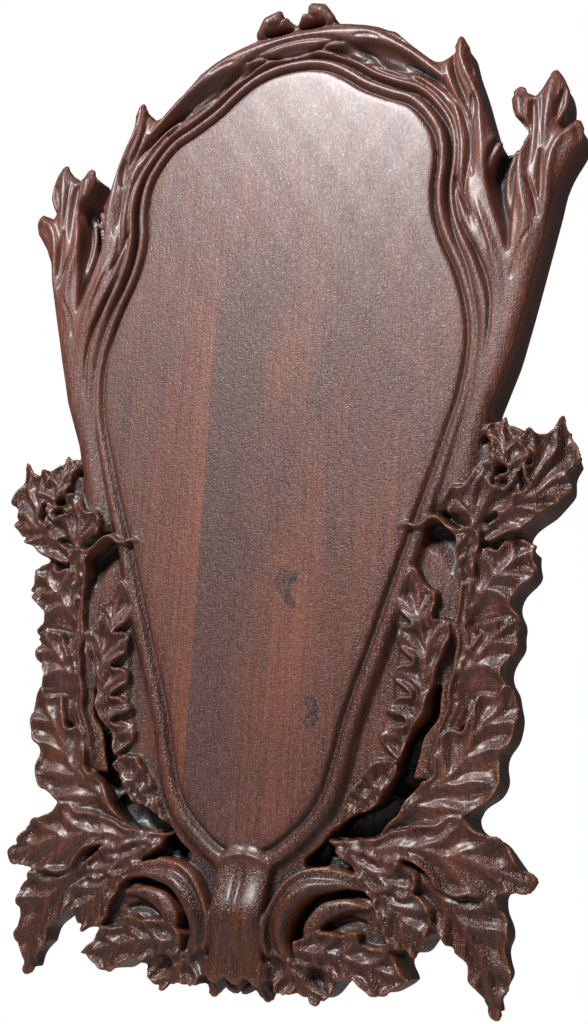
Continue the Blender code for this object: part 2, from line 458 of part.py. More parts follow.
def carve_scroll(relief):
    """The C-scroll beside the strap, with the small leaves under it."""
    relief.slab([(56, 30), (86, 27), (90, 40), (82, 54), (68, 56), (54, 46)], -4)
    path = [(76, 60), (62, 63.5), (46, 62.5), (34, 56), (26, 44), (24, 31), (29, 18), (38, 10)]
    relief.strand(path, [2.5, 5, 7.5, 8.5, 8.5, 8, 6, 3], [-1, 1.5, 3, 4, 3.5, 1.5, -1, -4], shoulder=0.5,
                  power=8, blend=0.4)
    relief.strand(offset_path(path, 6.3)[3:], 1.7, [2, 4.5, 6, 6, 4, 0.5], shoulder=1.5)
    relief.strand(offset_path(path, -2.6)[1:], [1.5, 4, 5, 5.5, 5, 4.5, 3], [1, 4, 6.5, 8, 7, 4, 0, -3],
                  shoulder=4)
    relief.strand([(76, 50), (63, 50.5), (52, 47), (44.5, 38), (43, 27)], [1.5, 4, 5.5, 5.5, 3],
                  [-1, 0, 1, 1.5, 1], shoulder=2)
    relief.hollow([(55, 39.5), (64, 43), (74, 42)], [0.5, 1.3, 0.4], -7, 2.5)
    relief.leaf([(34, 30), (44, 35), (54, 37), (62, 36), (69, 38), (73, 37), (74, 33), (80, 31), (87, 31),
                 (92, 28), (96, 21), (103, 15), (100, 13), (94, 10), (88, 6), (80, 6), (75, 10), (68, 13),
                 (60, 12), (50, 11), (42, 14), (36, 20)],
                [(38, 26), (60, 25), (80, 21), (102, 14)],
                [(0.15, 60, 36), (0.35, 72, 37), (0.6, 90, 29), (0.55, 84, 7), (0.3, 66, 13),
                 (0.1, 50, 12)], (2, 3, 2, 0), gap=5)
    relief.leaf([(20, 24), (30, 22), (40, 18), (50, 17), (57, 15), (60, 10), (57, 4), (52, 0), (47, -2),
                 (42, 1), (36, 3), (30, 1), (25, 2.5), (20, 5), (18, 14)],
                [(26, 22), (36, 12), (46, 1)], [(0.3, 58, 9), (0.5, 53, 3), (0.5, 32, 2), (0.2, 22, 6)],
                (0, -0.5, -2), gap=4)
    relief.hollow([(46, 13), (50, 10)], [0.8, 0.8], -7, 1.6)
    relief.leaf([(0, 12), (8, 13), (17, 12), (23, 5), (21, -1.5), (17, -3.5), (13, -2), (9, 1.5), (4, 0),
                 (0, 1)],
                [(6, 13), (12, 6), (17, -1)], [(0.3, 22, 2), (0.3, 5, 3)], (-6, -6, -8), gap=4, bowl=1.5)


def carve_panel(relief, off_panel):
    """The flat panel and the rounded bead around it."""
    face = -np.maximum(off_panel, 0) * WALL_SLOPE
    relief.add(..., np.where(off_panel > 3, NOTHING, face))
    centre = np.interp(relief.z, [230, 300, 360, 420], [7.3, 6.2, 5, 4.8])
    half = np.interp(relief.z, [230, 300, 360, 420], [4.4, 3.8, 3.2, 3.1])
    r = np.abs(off_panel - centre) / half
    bead = 0.4 - 2.6 * np.minimum(r, 1) ** 2.8 - np.maximum(r - 1, 0) * half * 4
    relief.add(..., np.where((r > 1.6) | (off_panel < 0) | (relief.z < 66), NOTHING, bead))


def carve_strap(relief):
    """The flared and fluted strap at the bottom, which curls over the panel's edge."""
    x, z = relief.x, relief.z
    half = np.interp(z, [5, 14, 20, 27, 42, 56, 68, 76], [20.5, 20, 17.6, 16.2, 16.2, 17, 18.5, 17])
    crest = smooth_path([(4, 4.5), (11, 4), (20, 5), (30, 7), (40, 8.4), (47, 8), (54, 5.4), (61, 2.8),
                         (68, 1.4), (78, 1.6)])
    crest = np.interp(z, *crest.T)
    arch = 75 - 6.5 * (x / 18) ** 2
    curl = np.clip((z - arch) / 5, 0, 1)
    lip = np.clip(1 - np.abs(z - arch + 0.5) / 1.8, 0, 1)
    crest = crest - 3 * (1 - np.sqrt(1 - curl ** 2)) + 1.8 * lip * (2 - lip)
    flute = np.interp(z, [10, 35, 50, 62, 72], [0.5, 0.4, 1.6, 1.8, 0.6])
    crest = crest - flute * (0.5 + 0.5 * np.cos(np.clip(x / 4.5, -1, 1) * np.pi))
    scallop = 7 - 1.8 * np.cos(x / 20 * 3 * np.pi)
    depth = np.minimum(np.minimum(half - x, arch + 4.8 - z), z - scallop)
    edge = 1.2 * np.clip(1 - depth / 1.2, 0, 1) ** 2 + np.maximum(-depth, 0) * WALL_SLOPE
    relief.add(..., crest - 3 * np.clip(x / half, 0, 1) ** 5 - edge)


def carve(step):
    """All layers, from the deepest to the highest, over a grid with the given step."""
    xs = np.arange(0, DRAWN_HALF_WIDTH + step, step)
    zs = np.arange(-MARGIN, DRAWN_HEIGHT + MARGIN + step, step)
    relief = Relief(xs, zs)
    rim = smooth_path(PANEL_EDGE)
    outline = np.vstack([rim, rim[-2:0:-1] * [-1, 1]])
    off_panel = -relief.inside(outline, ...)[0]
    relief.off_panel = off_panel
    carve_ground(relief)
    carve_backing(relief, off_panel)
    carve_branches(relief, off_panel)
    carve_strands(relief, off_panel)
    carve_stubs(relief)
    carve_crown(relief)
    relief.sway(0.9)
    cut_gaps(relief)
    carve_stems(relief)
    carve_column(relief)
    carve_top_cluster(relief)
    carve_curl(relief)
    carve_inner_leaves(relief)
    carve_bottom_leaves(relief)
    bend_edges_back(relief)
    relief.sway(0.25)
    carve_scroll(relief)
    relief.sway(0)
    carve_panel(relief, off_panel)
    carve_strap(relief)
    return relief


def blurred(values, reach):
    """An even blur over a box that reaches so many cells each way, done twice."""
    width = 2 * reach + 1
    for axis in (0, 1, 0, 1):
        pad = [(reach + 1, reach) if k == axis else (0, 0) for k in (0, 1)]
        sums = np.cumsum(np.pad(values, pad, mode="edge"), axis=axis)
        count = values.shape[axis]
        ends = np.take(sums, range(width, width + count), axis=axis)
        starts = np.take(sums, range(count), axis=axis)
        values = (ends - starts) / width
    return values


def highest_near(values, reach):
    """The highest value within so many cells each way."""
    for axis in (0, 1):
        values = np.max([np.roll(values, k, axis) for k in range(-reach, reach + 1)], axis=0)
    return values


def read_grid(values, rows, columns):
    """Values of a grid at places between its points."""
    r = np.clip(rows, 0, values.shape[0] - 1.001)
    c = np.clip(columns, 0, values.shape[1] - 1.001)
    r0, c0 = r.astype(int), c.astype(int)
    fr, fc = r - r0, c - c0
    low = values[r0, c0] * (1 - fc) + values[r0, c0 + 1] * fc
    high = values[r0 + 1, c0] * (1 - fc) + values[r0 + 1, c0 + 1] * fc
    return low * (1 - fr) + high * fr


def undercut(heights, step, places):
    """Draw the walls in below their edges, as a carver cuts them back. Each place moves uphill,
    furthest where little wood is near, so the back has a rounder outline than the front."""
    solid = np.maximum(heights, BACK)
    rows = (places[:, 1] + MARGIN) / step
    columns = places[:, 0] / step + (heights.shape[1] - 1) / 2
    drop = read_grid(highest_near(solid, round(3 / step)) - solid, rows, columns)
    share = np.clip((drop - 2) / 11, 0, 1)
    wood = blurred(1 - solid / BACK, round(4 / step))
    hill_z, hill_x = np.gradient(wood, step)
    for _ in range(UNDERCUT_STEPS):
        rise_x, rise_z, near = (read_grid(grid, rows, columns) for grid in (hill_x, hill_z, wood))
        pace = share * (2 - share) * (0.15 + 0.85 * np.clip((0.74 - near) / 0.12, 0, 1))
        pace *= UNDERCUT / UNDERCUT_STEPS / step / (np.hypot(rise_x, rise_z) + 0.005)
        rows += pace * rise_z
        columns += pace * rise_x
    return (columns - (heights.shape[1] - 1) / 2) * step, rows * step - MARGIN


def draw_walls_in(mesh, heights, step, unit):
    """Move the mesh's points sideways by the undercut at their places."""
    places = np.empty(len(mesh.vertices) * 3)
    mesh.vertices.foreach_get("co", places)
    places = places.reshape(-1, 3)
    drawn = places[:, [0, 2]] / unit + [0, DRAWN_HEIGHT / 2]
    x, z = undercut(heights, step, drawn)
    places[:, 0] = x * unit
    places[:, 2] = (z - DRAWN_HEIGHT / 2) * unit
    mesh.vertices.foreach_set("co", places.ravel())


def make_wood():
    wood = bpy.data.materials.new("dark stained wood")
    wood.use_nodes = True
    shader = wood.node_tree.nodes["Principled BSDF"]
    shader.inputs["Base Color"].default_value = WOOD_COLOUR
    shader.inputs["Roughness"].default_value = WOOD_ROUGHNESS
    return wood


def make_plaque(collection):
    """Raise a grid to the carved heights, cut it at the back plane and close the back."""
    step = GRID_STEP / UNIT
    relief = carve(step)
    heights = np.hstack([relief.h[:, :0:-1], relief.h])
    xs = np.concatenate([-relief.xs[:0:-1], relief.xs])
    below = 2 * WALL_SLOPE * GRID_STEP
    y = -np.maximum(heights * UNIT + PANEL_THICKNESS, -below)
    rows, columns = heights.shape
    bpy.ops.mesh.primitive_grid_add(x_subdivisions=columns - 1, y_subdivisions=rows - 1)
    plaque = bpy.context.object
    plaque.name = "carved_plaque"
    x, z = np.meshgrid(xs, relief.zs - DRAWN_HEIGHT / 2)
    places = np.stack([x * UNIT, y, z * UNIT], axis=-1)
    plaque.data.vertices.foreach_set("co", places.ravel())
    mesh = bmesh.new()
    mesh.from_mesh(plaque.data)
    bmesh.ops.bisect_plane(mesh, geom=mesh.verts[:] + mesh.edges[:] + mesh.faces[:], dist=1e-7,
                           plane_co=(0, 0, 0), plane_no=(0, 1, 0), clear_outer=True)
    rim = [edge for edge in mesh.edges if edge.is_boundary]
    bmesh.ops.triangle_fill(mesh, use_beauty=True, edges=rim)
    bmesh.ops.triangulate(mesh, faces=mesh.faces[:])
    bmesh.ops.recalc_face_normals(mesh, faces=mesh.faces[:])
    ratio = TRIANGLES / len(mesh.faces)
    mesh.to_mesh(plaque.data)
    mesh.free()
    draw_walls_in(plaque.data, heights, step, UNIT)
    for face in plaque.data.polygons:
        face.use_smooth = True
    plaque.data.set_sharp_from_angle(angle=0.6)
    thin = plaque.modifiers.new("fewer faces", "DECIMATE")
    thin.ratio = ratio
    plaque.data.materials.append(make_wood())
    for holder in plaque.users_collection:
        holder.objects.unlink(plaque)
    collection.objects.link(plaque)
    return plaque


def main():
    for old in list(bpy.data.objects):
        bpy.data.objects.remove(old, do_unlink=True)
    collection = bpy.data.collections.new("antler_mounting_plaque")
    bpy.context.scene.collection.children.link(collection)
    make_plaque(collection)


main()
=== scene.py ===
"""Antler mounting plaque: the carved board in full relief, its stained wood and the studio.

The carving is drawn on half of the plaque, in drawing units of which the full height has about
600, and mirrored. Its heights are measured from the panel's face, up towards the viewer, in the same
units. Everything else is in metres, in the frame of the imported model: X to the right, Z up, the
front faces -Y and the origin is in the middle of the back.
"""

import bmesh
import bpy
import numpy as np
from bpy.props import FloatProperty, FloatVectorProperty, IntProperty, PointerProperty
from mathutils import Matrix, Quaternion, Vector


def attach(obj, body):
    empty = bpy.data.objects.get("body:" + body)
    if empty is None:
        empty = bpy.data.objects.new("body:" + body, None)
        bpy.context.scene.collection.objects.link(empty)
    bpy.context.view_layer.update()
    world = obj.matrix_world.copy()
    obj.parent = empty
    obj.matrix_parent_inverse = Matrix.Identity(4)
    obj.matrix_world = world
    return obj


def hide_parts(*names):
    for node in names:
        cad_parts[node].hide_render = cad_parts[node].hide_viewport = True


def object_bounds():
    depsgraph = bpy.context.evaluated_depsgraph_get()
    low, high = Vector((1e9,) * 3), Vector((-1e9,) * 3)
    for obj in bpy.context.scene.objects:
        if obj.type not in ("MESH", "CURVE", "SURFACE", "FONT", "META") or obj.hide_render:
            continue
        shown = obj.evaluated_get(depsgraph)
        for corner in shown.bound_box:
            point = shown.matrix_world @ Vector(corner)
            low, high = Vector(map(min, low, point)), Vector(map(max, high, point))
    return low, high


bl_info = {
    "name": "Antler Mounting Plaque",
    "version": (1, 0, 0),
    "blender": (4, 5, 0),
    "location": "3D View > Sidebar > Plaque",
    "description": "Carves a wooden board with a smooth panel in a frame of branches and oak leaves",
    "category": "Object",
}

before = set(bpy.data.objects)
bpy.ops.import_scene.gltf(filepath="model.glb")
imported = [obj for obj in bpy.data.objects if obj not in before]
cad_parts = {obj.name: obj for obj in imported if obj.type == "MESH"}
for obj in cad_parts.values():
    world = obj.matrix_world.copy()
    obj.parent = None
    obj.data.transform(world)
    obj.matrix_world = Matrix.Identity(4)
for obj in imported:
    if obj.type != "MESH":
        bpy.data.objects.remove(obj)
CAD_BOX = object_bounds()

NODE = "carved_plaque"

DRAWN_HEIGHT = 600.0
DRAWN_HALF_WIDTH = 0.34 * DRAWN_HEIGHT
DRAWN_THICKNESS = 23.5
MARGIN = 6.0
BACK = -DRAWN_THICKNESS
DEEPEST = BACK + 4.5
WALL_SLOPE = 12.0
UNDERCUT = 8.0
UNDERCUT_STEPS = 8
NOTHING = 4 * BACK
RIM_WAVES = 9
VEIN_SPACING = 4.6
VEIN_HEIGHT = 0.8

GLUE_LINES = (-0.0423, 0.0390)
GLUE_LINE_WIDTH = 0.001
KNOTS = ((0.0170, -0.072, 0.0075), (0.0195, -0.083, 0.0050), (0.0370, -0.143, 0.0050),
         (0.0370, -0.152, 0.0050))

PANEL_EDGE = [(0, 75), (15, 79.5), (28, 89.5), (38, 100), (45, 112.5), (50, 130), (54, 147), (60, 166),
              (70, 194), (80, 224), (90, 253), (101, 283), (110, 310), (117, 332), (121, 355),
              (120.5, 376), (114, 402), (104, 425), (99, 442), (97.5, 458), (99, 476), (97, 492),
              (90, 505), (80, 516), (66, 523), (50, 532), (37, 542), (25, 549.5), (12, 553.5),
              (0, 554.5)]


def smooth_path(points, steps=6):
    """A Catmull-Rom curve through the points."""
    p = np.array(points, float)
    ends = np.vstack([2 * p[0] - p[1], p, 2 * p[-1] - p[-2]])
    t = (np.arange(steps) / steps)[:, None]
    runs = []
    for a, b, c, d in zip(ends, ends[1:], ends[2:], ends[3:]):
        runs.append(0.5 * (2 * b + (c - a) * t + (2 * a - 5 * b + 4 * c - d) * t ** 2
                           + (3 * b - a - 3 * c + d) * t ** 3))
    return np.vstack(runs + [p[-1:]])


def spread(values, place):
    """Values given at even steps along a path, read at places from 0 to 1."""
    values = np.atleast_1d(np.array(values, float))
    return np.interp(place, np.linspace(0, 1, len(values)), values)


def lengths_along(line):
    """The share of a line's length that lies before each of its points."""
    steps = np.hypot(*np.diff(line, axis=0).T)
    return np.concatenate([[0], np.cumsum(steps)]) / steps.sum()


class Relief:
    """Heights over a grid of the half plaque, built up layer by layer."""

    def __init__(self, xs, zs):
        self.xs = xs
        self.zs = zs
        self.x, self.z = np.meshgrid(xs, zs)
        self.h = np.full(self.x.shape, NOTHING)
        self.sway_x = np.zeros(self.x.shape)
        self.sway_z = np.zeros(self.x.shape)

    def sway(self, amount):
        """Let what is carved next waver a little, as a free hand does."""
        x, z = self.x, self.z
        self.sway_x = amount * (np.sin(z * 0.19 + np.sin(x * 0.07)) + 0.5 * np.sin(z * 0.37 - x * 0.13))
        self.sway_z = amount * (np.sin(x * 0.17 + np.sin(z * 0.09)) + 0.5 * np.sin(x * 0.33 + z * 0.15))

    def window(self, line, reach):
        """The part of the grid that a line can change."""
        columns = np.searchsorted(self.xs, [line[:, 0].min() - reach, line[:, 0].max() + reach])
        rows = np.searchsorted(self.zs, [line[:, 1].min() - reach, line[:, 1].max() + reach])
        return slice(*rows), slice(*columns)

    def along(self, line, part):
        """Distance from a line, and the place of its nearest point from 0 to 1."""
        x, z = self.x[part] + self.sway_x[part], self.z[part] + self.sway_z[part]
        distance = np.full(x.shape, 1e9)
        place = np.zeros(x.shape)
        run = lengths_along(line)
        for k in range(len(line) - 1):
            ax, az = line[k]
            dx, dz = line[k + 1] - line[k]
            q = np.clip(((x - ax) * dx + (z - az) * dz) / (dx * dx + dz * dz), 0, 1)
            d = np.hypot(x - ax - q * dx, z - az - q * dz)
            near = d < distance
            distance = np.where(near, d, distance)
            place = np.where(near, run[k] + q * (run[k + 1] - run[k]), place)
        return distance, place

    def inside(self, outline, part):
        """Distance inside a closed outline, negative outside it, and the place around it."""
        x, z = self.x[part] + self.sway_x[part], self.z[part] + self.sway_z[part]
        loop = np.vstack([outline, outline[:1]])
        distance, place = self.along(loop, part)
        odd = np.zeros(x.shape, bool)
        for (ax, az), (bx, bz) in zip(loop[:-1], loop[1:]):
            if az != bz:
                odd ^= ((az > z) != (bz > z)) & (x < ax + (z - az) * (bx - ax) / (bz - az))
        return np.where(odd, distance, -distance), place

    def add(self, part, height, blend=0.0):
        """Keep the higher of old and new, with a small fillet where they meet."""
        old = self.h[part]
        self.h[part] = np.maximum(old, height)
        if blend:
            gap = np.minimum(np.abs(old - height), blend)
            self.h[part] += (blend - gap) ** 2 / (4 * blend)

    def slab(self, outline, height):
        """A flat piece of ground with steep sides."""
        outline = np.array(outline, float)
        part = self.window(outline, MARGIN)
        depth, _ = self.inside(outline, part)
        self.add(part, max(height, DEEPEST) - np.maximum(-depth, 0) * WALL_SLOPE)

    def strand(self, points, widths, crests, shoulder=3.0, power=2.0, blend=0.8):
        """A rounded strand that follows a path."""
        line = smooth_path(points)
        part = self.window(line, np.max(widths) + MARGIN)
        distance, place = self.along(line, part)
        width = spread(widths, place)
        r = np.minimum(distance / width, 1)
        height = spread(crests, place) - shoulder * r ** power
        self.add(part, height - np.maximum(distance - width, 0) * WALL_SLOPE, blend)

    def bump(self, points, widths, amounts):
        """A soft ridge along a path, added to what is there; a negative amount makes a groove."""
        line = smooth_path(points)
        part = self.window(line, np.max(widths) + 1)
        distance, place = self.along(line, part)
        r = np.minimum(distance / np.maximum(spread(widths, place), 0.05), 1)
        self.h[part] += spread(amounts, place) * (1 - r ** 2) ** 1.5

    def hollow(self, points, widths, floor, slope):
        """A hollow with sloping walls, cut down to a floor."""
        line = smooth_path(points)
        part = self.window(line, np.max(widths) + MARGIN)
        distance, place = self.along(line, part)
        over = np.maximum(distance - spread(widths, place), 0)
        wall = np.maximum(spread(floor, place), DEEPEST) + over * slope
        solid = self.h[part] > BACK
        self.h[part] = np.where(solid, np.minimum(self.h[part], wall), self.h[part])

    def leaf(self, outline, midrib, veins, levels, fold=3.4, gap=6.5, bowl=4.0, reach=2.6):
        """A cupped leaf laid over what is there: a high and wavy rim, a hollow blade inside it,
        and sharp ridges on its midrib and veins."""
        edge = smooth_path(list(outline) + [outline[0]], 5)[:-1]
        part = self.window(edge, MARGIN)
        depth, around = self.inside(edge, part)
        rib = smooth_path(midrib)
        run = lengths_along(rib)
        off_rib, place = self.along(rib, part)
        off_vein = off_rib
        for start, x, z in veins:
            root, ahead = (np.array([np.interp(s, run, rib[:, 0]), np.interp(s, run, rib[:, 1])])
                           for s in (start, start + 0.15))
            tip = np.array([x, z], float)
            length = np.hypot(*(tip - root))
            forward = (ahead - root) / max(np.hypot(*(ahead - root)), 0.001)
            bend = root + forward * length * 0.3 + (tip - root) * 0.25
            u = np.linspace(0, 1, 7)[:, None]
            vein = root * (1 - u) ** 2 + 2 * bend * u * (1 - u) + tip * u ** 2
            off_vein = np.minimum(off_vein, self.along(vein, part)[0])
        turn = 2 * np.pi * RIM_WAVES * around
        wavy = 1 + 0.35 * np.sin(turn + 1) + 0.2 * np.sin(2.3 * turn)
        rim = np.exp(-(np.maximum(depth - 0.8, 0) / reach) ** 1.3)
        height = spread(levels, place) + 0.8 - bowl + bowl * wavy * rim
        x, z = self.x[part], self.z[part]
        swell = np.sin(x * 0.26 + 1.5 * np.sin(z * 0.17)) * np.sin(z * 0.23 - 1.2 * np.sin(x * 0.13))
        height += 0.6 * swell
        height += fold * np.maximum(1 - off_vein / gap, 0) ** 1.4 * (1 - 0.6 * rim)
        lines = (place * np.hypot(*np.diff(rib, axis=0).T).sum() - 0.9 * off_rib) / VEIN_SPACING
        ridges = (2 * (lines % 1) - 1) ** 2 - 0.4
        height += VEIN_HEIGHT * ridges * np.clip(off_vein / 2, 0.2, 1) * np.clip(depth / 2 - 0.2, 0, 1)
        corner = np.clip(1 - depth, 0, 1)
        height -= 1 - np.sqrt(1 - corner ** 2) + np.maximum(-depth, 0) * WALL_SLOPE
        self.h[part] = np.where(depth > 0, height, np.maximum(self.h[part], height))


def offset_path(points, distance):
    """The path moved sideways, to the right of its direction."""
    line = smooth_path(points)
    ahead = np.gradient(line, axis=0)
    ahead /= np.hypot(*ahead.T)[:, None]
    return line[::3] + distance * np.stack([ahead[:, 1], -ahead[:, 0]], axis=1)[::3]


def carve_ground(relief):
    """The deep ground under the foliage, and between the frame and the trunk."""
    relief.slab([(48, 84), (62, 80), (95, 90), (112, 100), (128, 108), (138, 130), (144, 152), (140, 172),
                 (144, 190), (142, 208), (150, 222), (152, 242), (168, 262), (180, 268), (182, 290),
                 (176, 300), (163, 306), (156, 309.5), (148, 311), (138, 310), (130, 290),
                 (110, 250), (100, 200), (90, 150), (85, 115)], -13)
    relief.slab([(-6, -1), (8, -1.5), (24, 3), (45, 5), (70, 13), (92, 18), (100, 30), (112, 42),
                 (124, 36), (134, 24), (142, 12), (148, 30), (146, 50), (138, 60), (150, 70), (140, 86),
                 (128, 98), (110, 96), (80, 90), (50, 84), (25, 78), (-6, 76)], -12)
    relief.slab([(128, 500), (135, 487), (145, 480), (156, 475), (150, 440), (140, 420), (126, 440)], -13)
    relief.slab([(118, 258), (130, 252), (150, 256), (170, 262), (181, 272), (182, 290), (174, 301),
                 (163, 306), (156, 309.5), (148, 311), (139, 306), (131, 298), (126, 285),
                 (116, 272)], -2.5)


def carve_backing(relief, off_panel):
    """The floor that the bead stands in, and the backing between the bead and the leaves."""
    floor = np.interp(relief.z, [240, 300, 380, 420], [-3, -2, -3, -8.5])
    relief.add(..., floor - np.maximum(off_panel - 13, 0) * WALL_SLOPE)
    relief.slab([(40, 80), (50, 87), (60, 92), (72, 98), (84, 105), (92, 117), (101, 133), (112, 157),
                 (124, 190), (128, 225), (122, 258), (100, 262), (80, 225), (62, 175), (50, 130),
                 (36, 95)], -4.8)
    relief.slab([(8, 46), (18, 46), (25, 56), (33, 64), (39, 70), (47, 78), (54, 84), (50, 94),
                 (30, 84), (8, 74)], -4)


def carve_branches(relief, off_panel):
    """The body of the upper frame and the trunk, with rounded sides and sawn stubs."""
    outline = [(-8, 587), (12, 586), (28, 585), (40, 582.5), (50, 580), (60, 576), (70, 570), (80, 561),
               (90, 551), (97, 544.5), (102, 543), (105, 546), (106.5, 552), (109, 557), (113, 558),
               (117, 555), (119.5, 548), (121.5, 539), (125, 528), (128.5, 517), (131.5, 505), (134, 495),
               (136, 488), (139, 485.5), (142, 481.5), (145, 480), (147, 484), (146, 492), (143.5, 500),
               (142.5, 508), (144.5, 514), (149, 517), (153, 515.5), (156, 511), (159, 508.5), (161.5, 512),
               (164, 518), (168, 522.5), (172, 523), (176, 519.5), (179, 513), (181, 505), (181, 498),
               (178, 491), (175, 486), (176, 484), (180, 486.5), (184, 489), (188, 486.5), (190, 480.5),
               (188.5, 473), (184, 466.5), (179, 459), (175, 450), (173, 440), (168, 420), (163, 400),
               (158, 380), (150, 350), (138.5, 320), (133, 300), (130, 280), (128, 262), (80, 262),
               (80, 480), (-8, 540)]
    outline = np.array(outline, float)
    outer, _ = relief.inside(outline, ...)
    inner = off_panel - np.interp(relief.z, [250, 300, 350, 390, 420, 450], [11, 9.5, 7, 8, 9, 10.5])
    crest = np.interp(relief.z, [262, 300, 350, 420, 480, 518], [0, 0.8, 2, 2.5, 1, -1])
    outer_corner = np.clip(1 - outer / 9, 0, 1)
    inner_corner = np.clip(1 - inner / np.interp(relief.z, [320, 420], [9, 3.5]), 0, 1)
    height = crest - 6 * (1 - np.sqrt(1 - outer_corner ** 2)) - 3 * (1 - np.sqrt(1 - inner_corner ** 2))
    relief.add(..., height + np.minimum(np.minimum(outer, inner), 0) * WALL_SLOPE)


def carve_strands(relief, off_panel):
    """The strands and grooves that run along the branches."""
    z = relief.z
    for offset, width, depth, low, high in ((15.2, 1.6, 2.4, 385, 410), (21.5, 1.8, 2.2, 425, 450)):
        fade = np.interp(z, [low, high], [0, 1])
        r = np.minimum(np.abs(off_panel - offset) / width, 1)
        relief.h -= depth * fade * (1 - r ** 2) ** 1.5
    bump = relief.bump
    bump([(20, 567), (36, 563), (50, 558.5), (64, 552), (78, 544), (92, 533.5), (103, 522)],
         [1, 5, 8, 8, 6, 3.5, 1.5], [-2, -6, -7, -7, -6, -5, -2])
    bump([(30, 562), (46, 555.5), (60, 549), (75, 540), (90, 528.5)], [1, 2.5, 3, 2.5, 1], [-3])
    bump([(0, 577), (24, 577), (44, 573), (60, 566), (76, 555), (90, 543), (102, 530)],
         [7, 8, 7, 6, 5, 4, 3], [1.5])
    bump([(63, 568), (72, 562), (82, 554)], [0.5, 1.4, 0.5], [-2.5])
    bump([(76, 546), (87, 539), (100, 529), (105, 521)], [0.5, 1.6, 1.4, 0.5], [-3.5])
    bump([(0, 567), (12, 567.5), (24, 570), (34, 570)], [1.6, 1.6, 0.8, 0.3], [-5, -5, -3])
    bump([(14, 581), (26, 580), (38, 577)], [0.4, 1.2, 0.4], [-1.5])
    bump([(42, 571), (52, 569), (60, 565)], [0.4, 1, 0.4], [-1.5])
    bump([(103, 541), (106, 530), (110, 518), (113, 503), (114, 488), (116, 470), (121, 452)],
         [3, 3.5, 3.5, 3, 3, 3, 2], [1.5, 2, 1.5, 1, 1, 1, 0])
    bump([(107.5, 548), (108, 538), (111, 526), (116, 514), (119, 503)], [1, 1.6, 2, 2.4, 1],
         [-3, -4, -4, -3, -1])
    bump([(112.5, 552), (113, 542), (117, 530), (122, 519), (126, 505), (128, 488), (129, 470), (130, 455)],
         [2, 2.5, 2.5, 3, 3, 3.5, 3.5, 2], [1, 1.5, 2, 1.5, 1.5, 1.5, 1, 0])
    bump([(117, 546), (119.5, 536), (121, 528)], [1, 2.5, 1], [-2])
    bump([(121, 514), (121.5, 506), (121, 498)], [2, 4.5, 2], [-2.5])
    bump([(121, 497), (122, 480), (123, 462)], [1, 3, 1], [-1.5])
    bump([(112.5, 463), (117, 450), (123, 438)], [0.5, 1.5, 0.5], [-4])
    bump([(118, 433), (126, 416), (133, 398), (136, 380), (135, 362), (133, 348)],
         [0.6, 1.8, 2, 1.6, 1.2, 0.5], [-2, -4, -4, -3, -2, -1])
    bump([(125, 450), (131, 430), (137, 412), (141, 396), (142, 380)],
         [1, 3.5, 4, 4, 2], [0, 1.5, 1.5, 1, 0])
    bump([(127, 436), (131, 424), (135, 412)], [0.4, 1.3, 0.4], [-2])


def carve_stubs(relief):
    """The hollow between frame and trunk, the small stub in it, and the grooves of the sawn stubs."""
    relief.hollow([(146, 485), (141.5, 472), (140.5, 458), (142, 444), (144, 428), (146, 412)],
                  [4.5, 4, 3.2, 2.2, 1, 0.3], [-13, -13, -11, -8, -4, 1], 2.2)
    relief.strand([(131, 444), (130.5, 458), (133.5, 471), (138, 481)],
                  [2.5, 3, 3.2, 3], [-2, -1, -1.5, -3], shoulder=4)
    relief.strand([(145.5, 476), (143, 462), (143.5, 448), (147, 434), (151, 424)],
                  [1.6, 2.2, 2.6, 2.6, 1.6], [-9, -7, -5, -3, 0], shoulder=2.5, blend=1.5)
    bump = relief.bump
    bump([(149.5, 508), (150.5, 490), (151, 470), (153, 450), (156, 432), (154, 414), (150, 398)],
         [3, 3.5, 4, 4.5, 4.5, 4.5, 3], [1, 1.5, 2, 2, 2, 1.5, 0])
    bump([(158, 502), (158.5, 488), (158, 472), (157, 458)], [2.5, 4, 3.5, 1], [-3.5, -3, -2, 0])
    bump([(156, 455), (160, 444), (163, 430)], [0.5, 1.6, 0.5], [-2.5])
    bump([(163.5, 506), (164, 490), (164, 474)], [0.6, 1.2, 0.6], [-1.5])
    bump([(169.5, 514), (168, 500), (166.5, 486), (166, 470)], [3, 4, 3.5, 2], [1, 2, 1.5, 0])
    bump([(185, 482), (177, 478), (171, 468), (168.5, 454), (168, 438), (165, 420)],
         [3, 3.4, 3.2, 3, 3, 2], [1, 2, 2, 2, 1.5, 0])
    bump([(164, 470), (164, 455), (164, 440)], [1, 3, 1], [-2])
    bump([(176, 506), (174, 498), (172, 490)], [1, 3.5, 1], [-3])
    bump([(184, 481), (185.5, 475)], [2.6, 2.6], [-1.8])
    bump([(150.5, 511.5), (149.5, 509)], [2, 2], [-1.5])
    bump([(148, 395), (152, 410), (158, 422)], [0.5, 1.5, 0.5], [-1.5])


def carve_crown(relief):
    """The two cut buds at the top, with the wood behind them."""
    relief.slab([(-6, 580), (30, 580), (25, 590), (12, 593), (-6, 590)], -9)
    relief.strand([(25, 587), (19, 592.5), (12, 597)], [4.5, 6.5, 4.5], [0, 2.5, 1], shoulder=4)
    relief.strand([(13, 592), (7, 591.5), (2, 588)], [4, 4, 3], [1, 1, -3], shoulder=4)
    relief.bump([(4, 586.5), (12, 586.5), (20, 586)], [1.6, 2.4, 1], [-7])
    relief.bump([(6, 596), (11, 591), (17, 589)], [0.6, 1.6, 0.6], [-3])
    relief.bump([(2, 583), (14, 582.5), (26, 583)], [0.6, 1.4, 0.6], [-3])


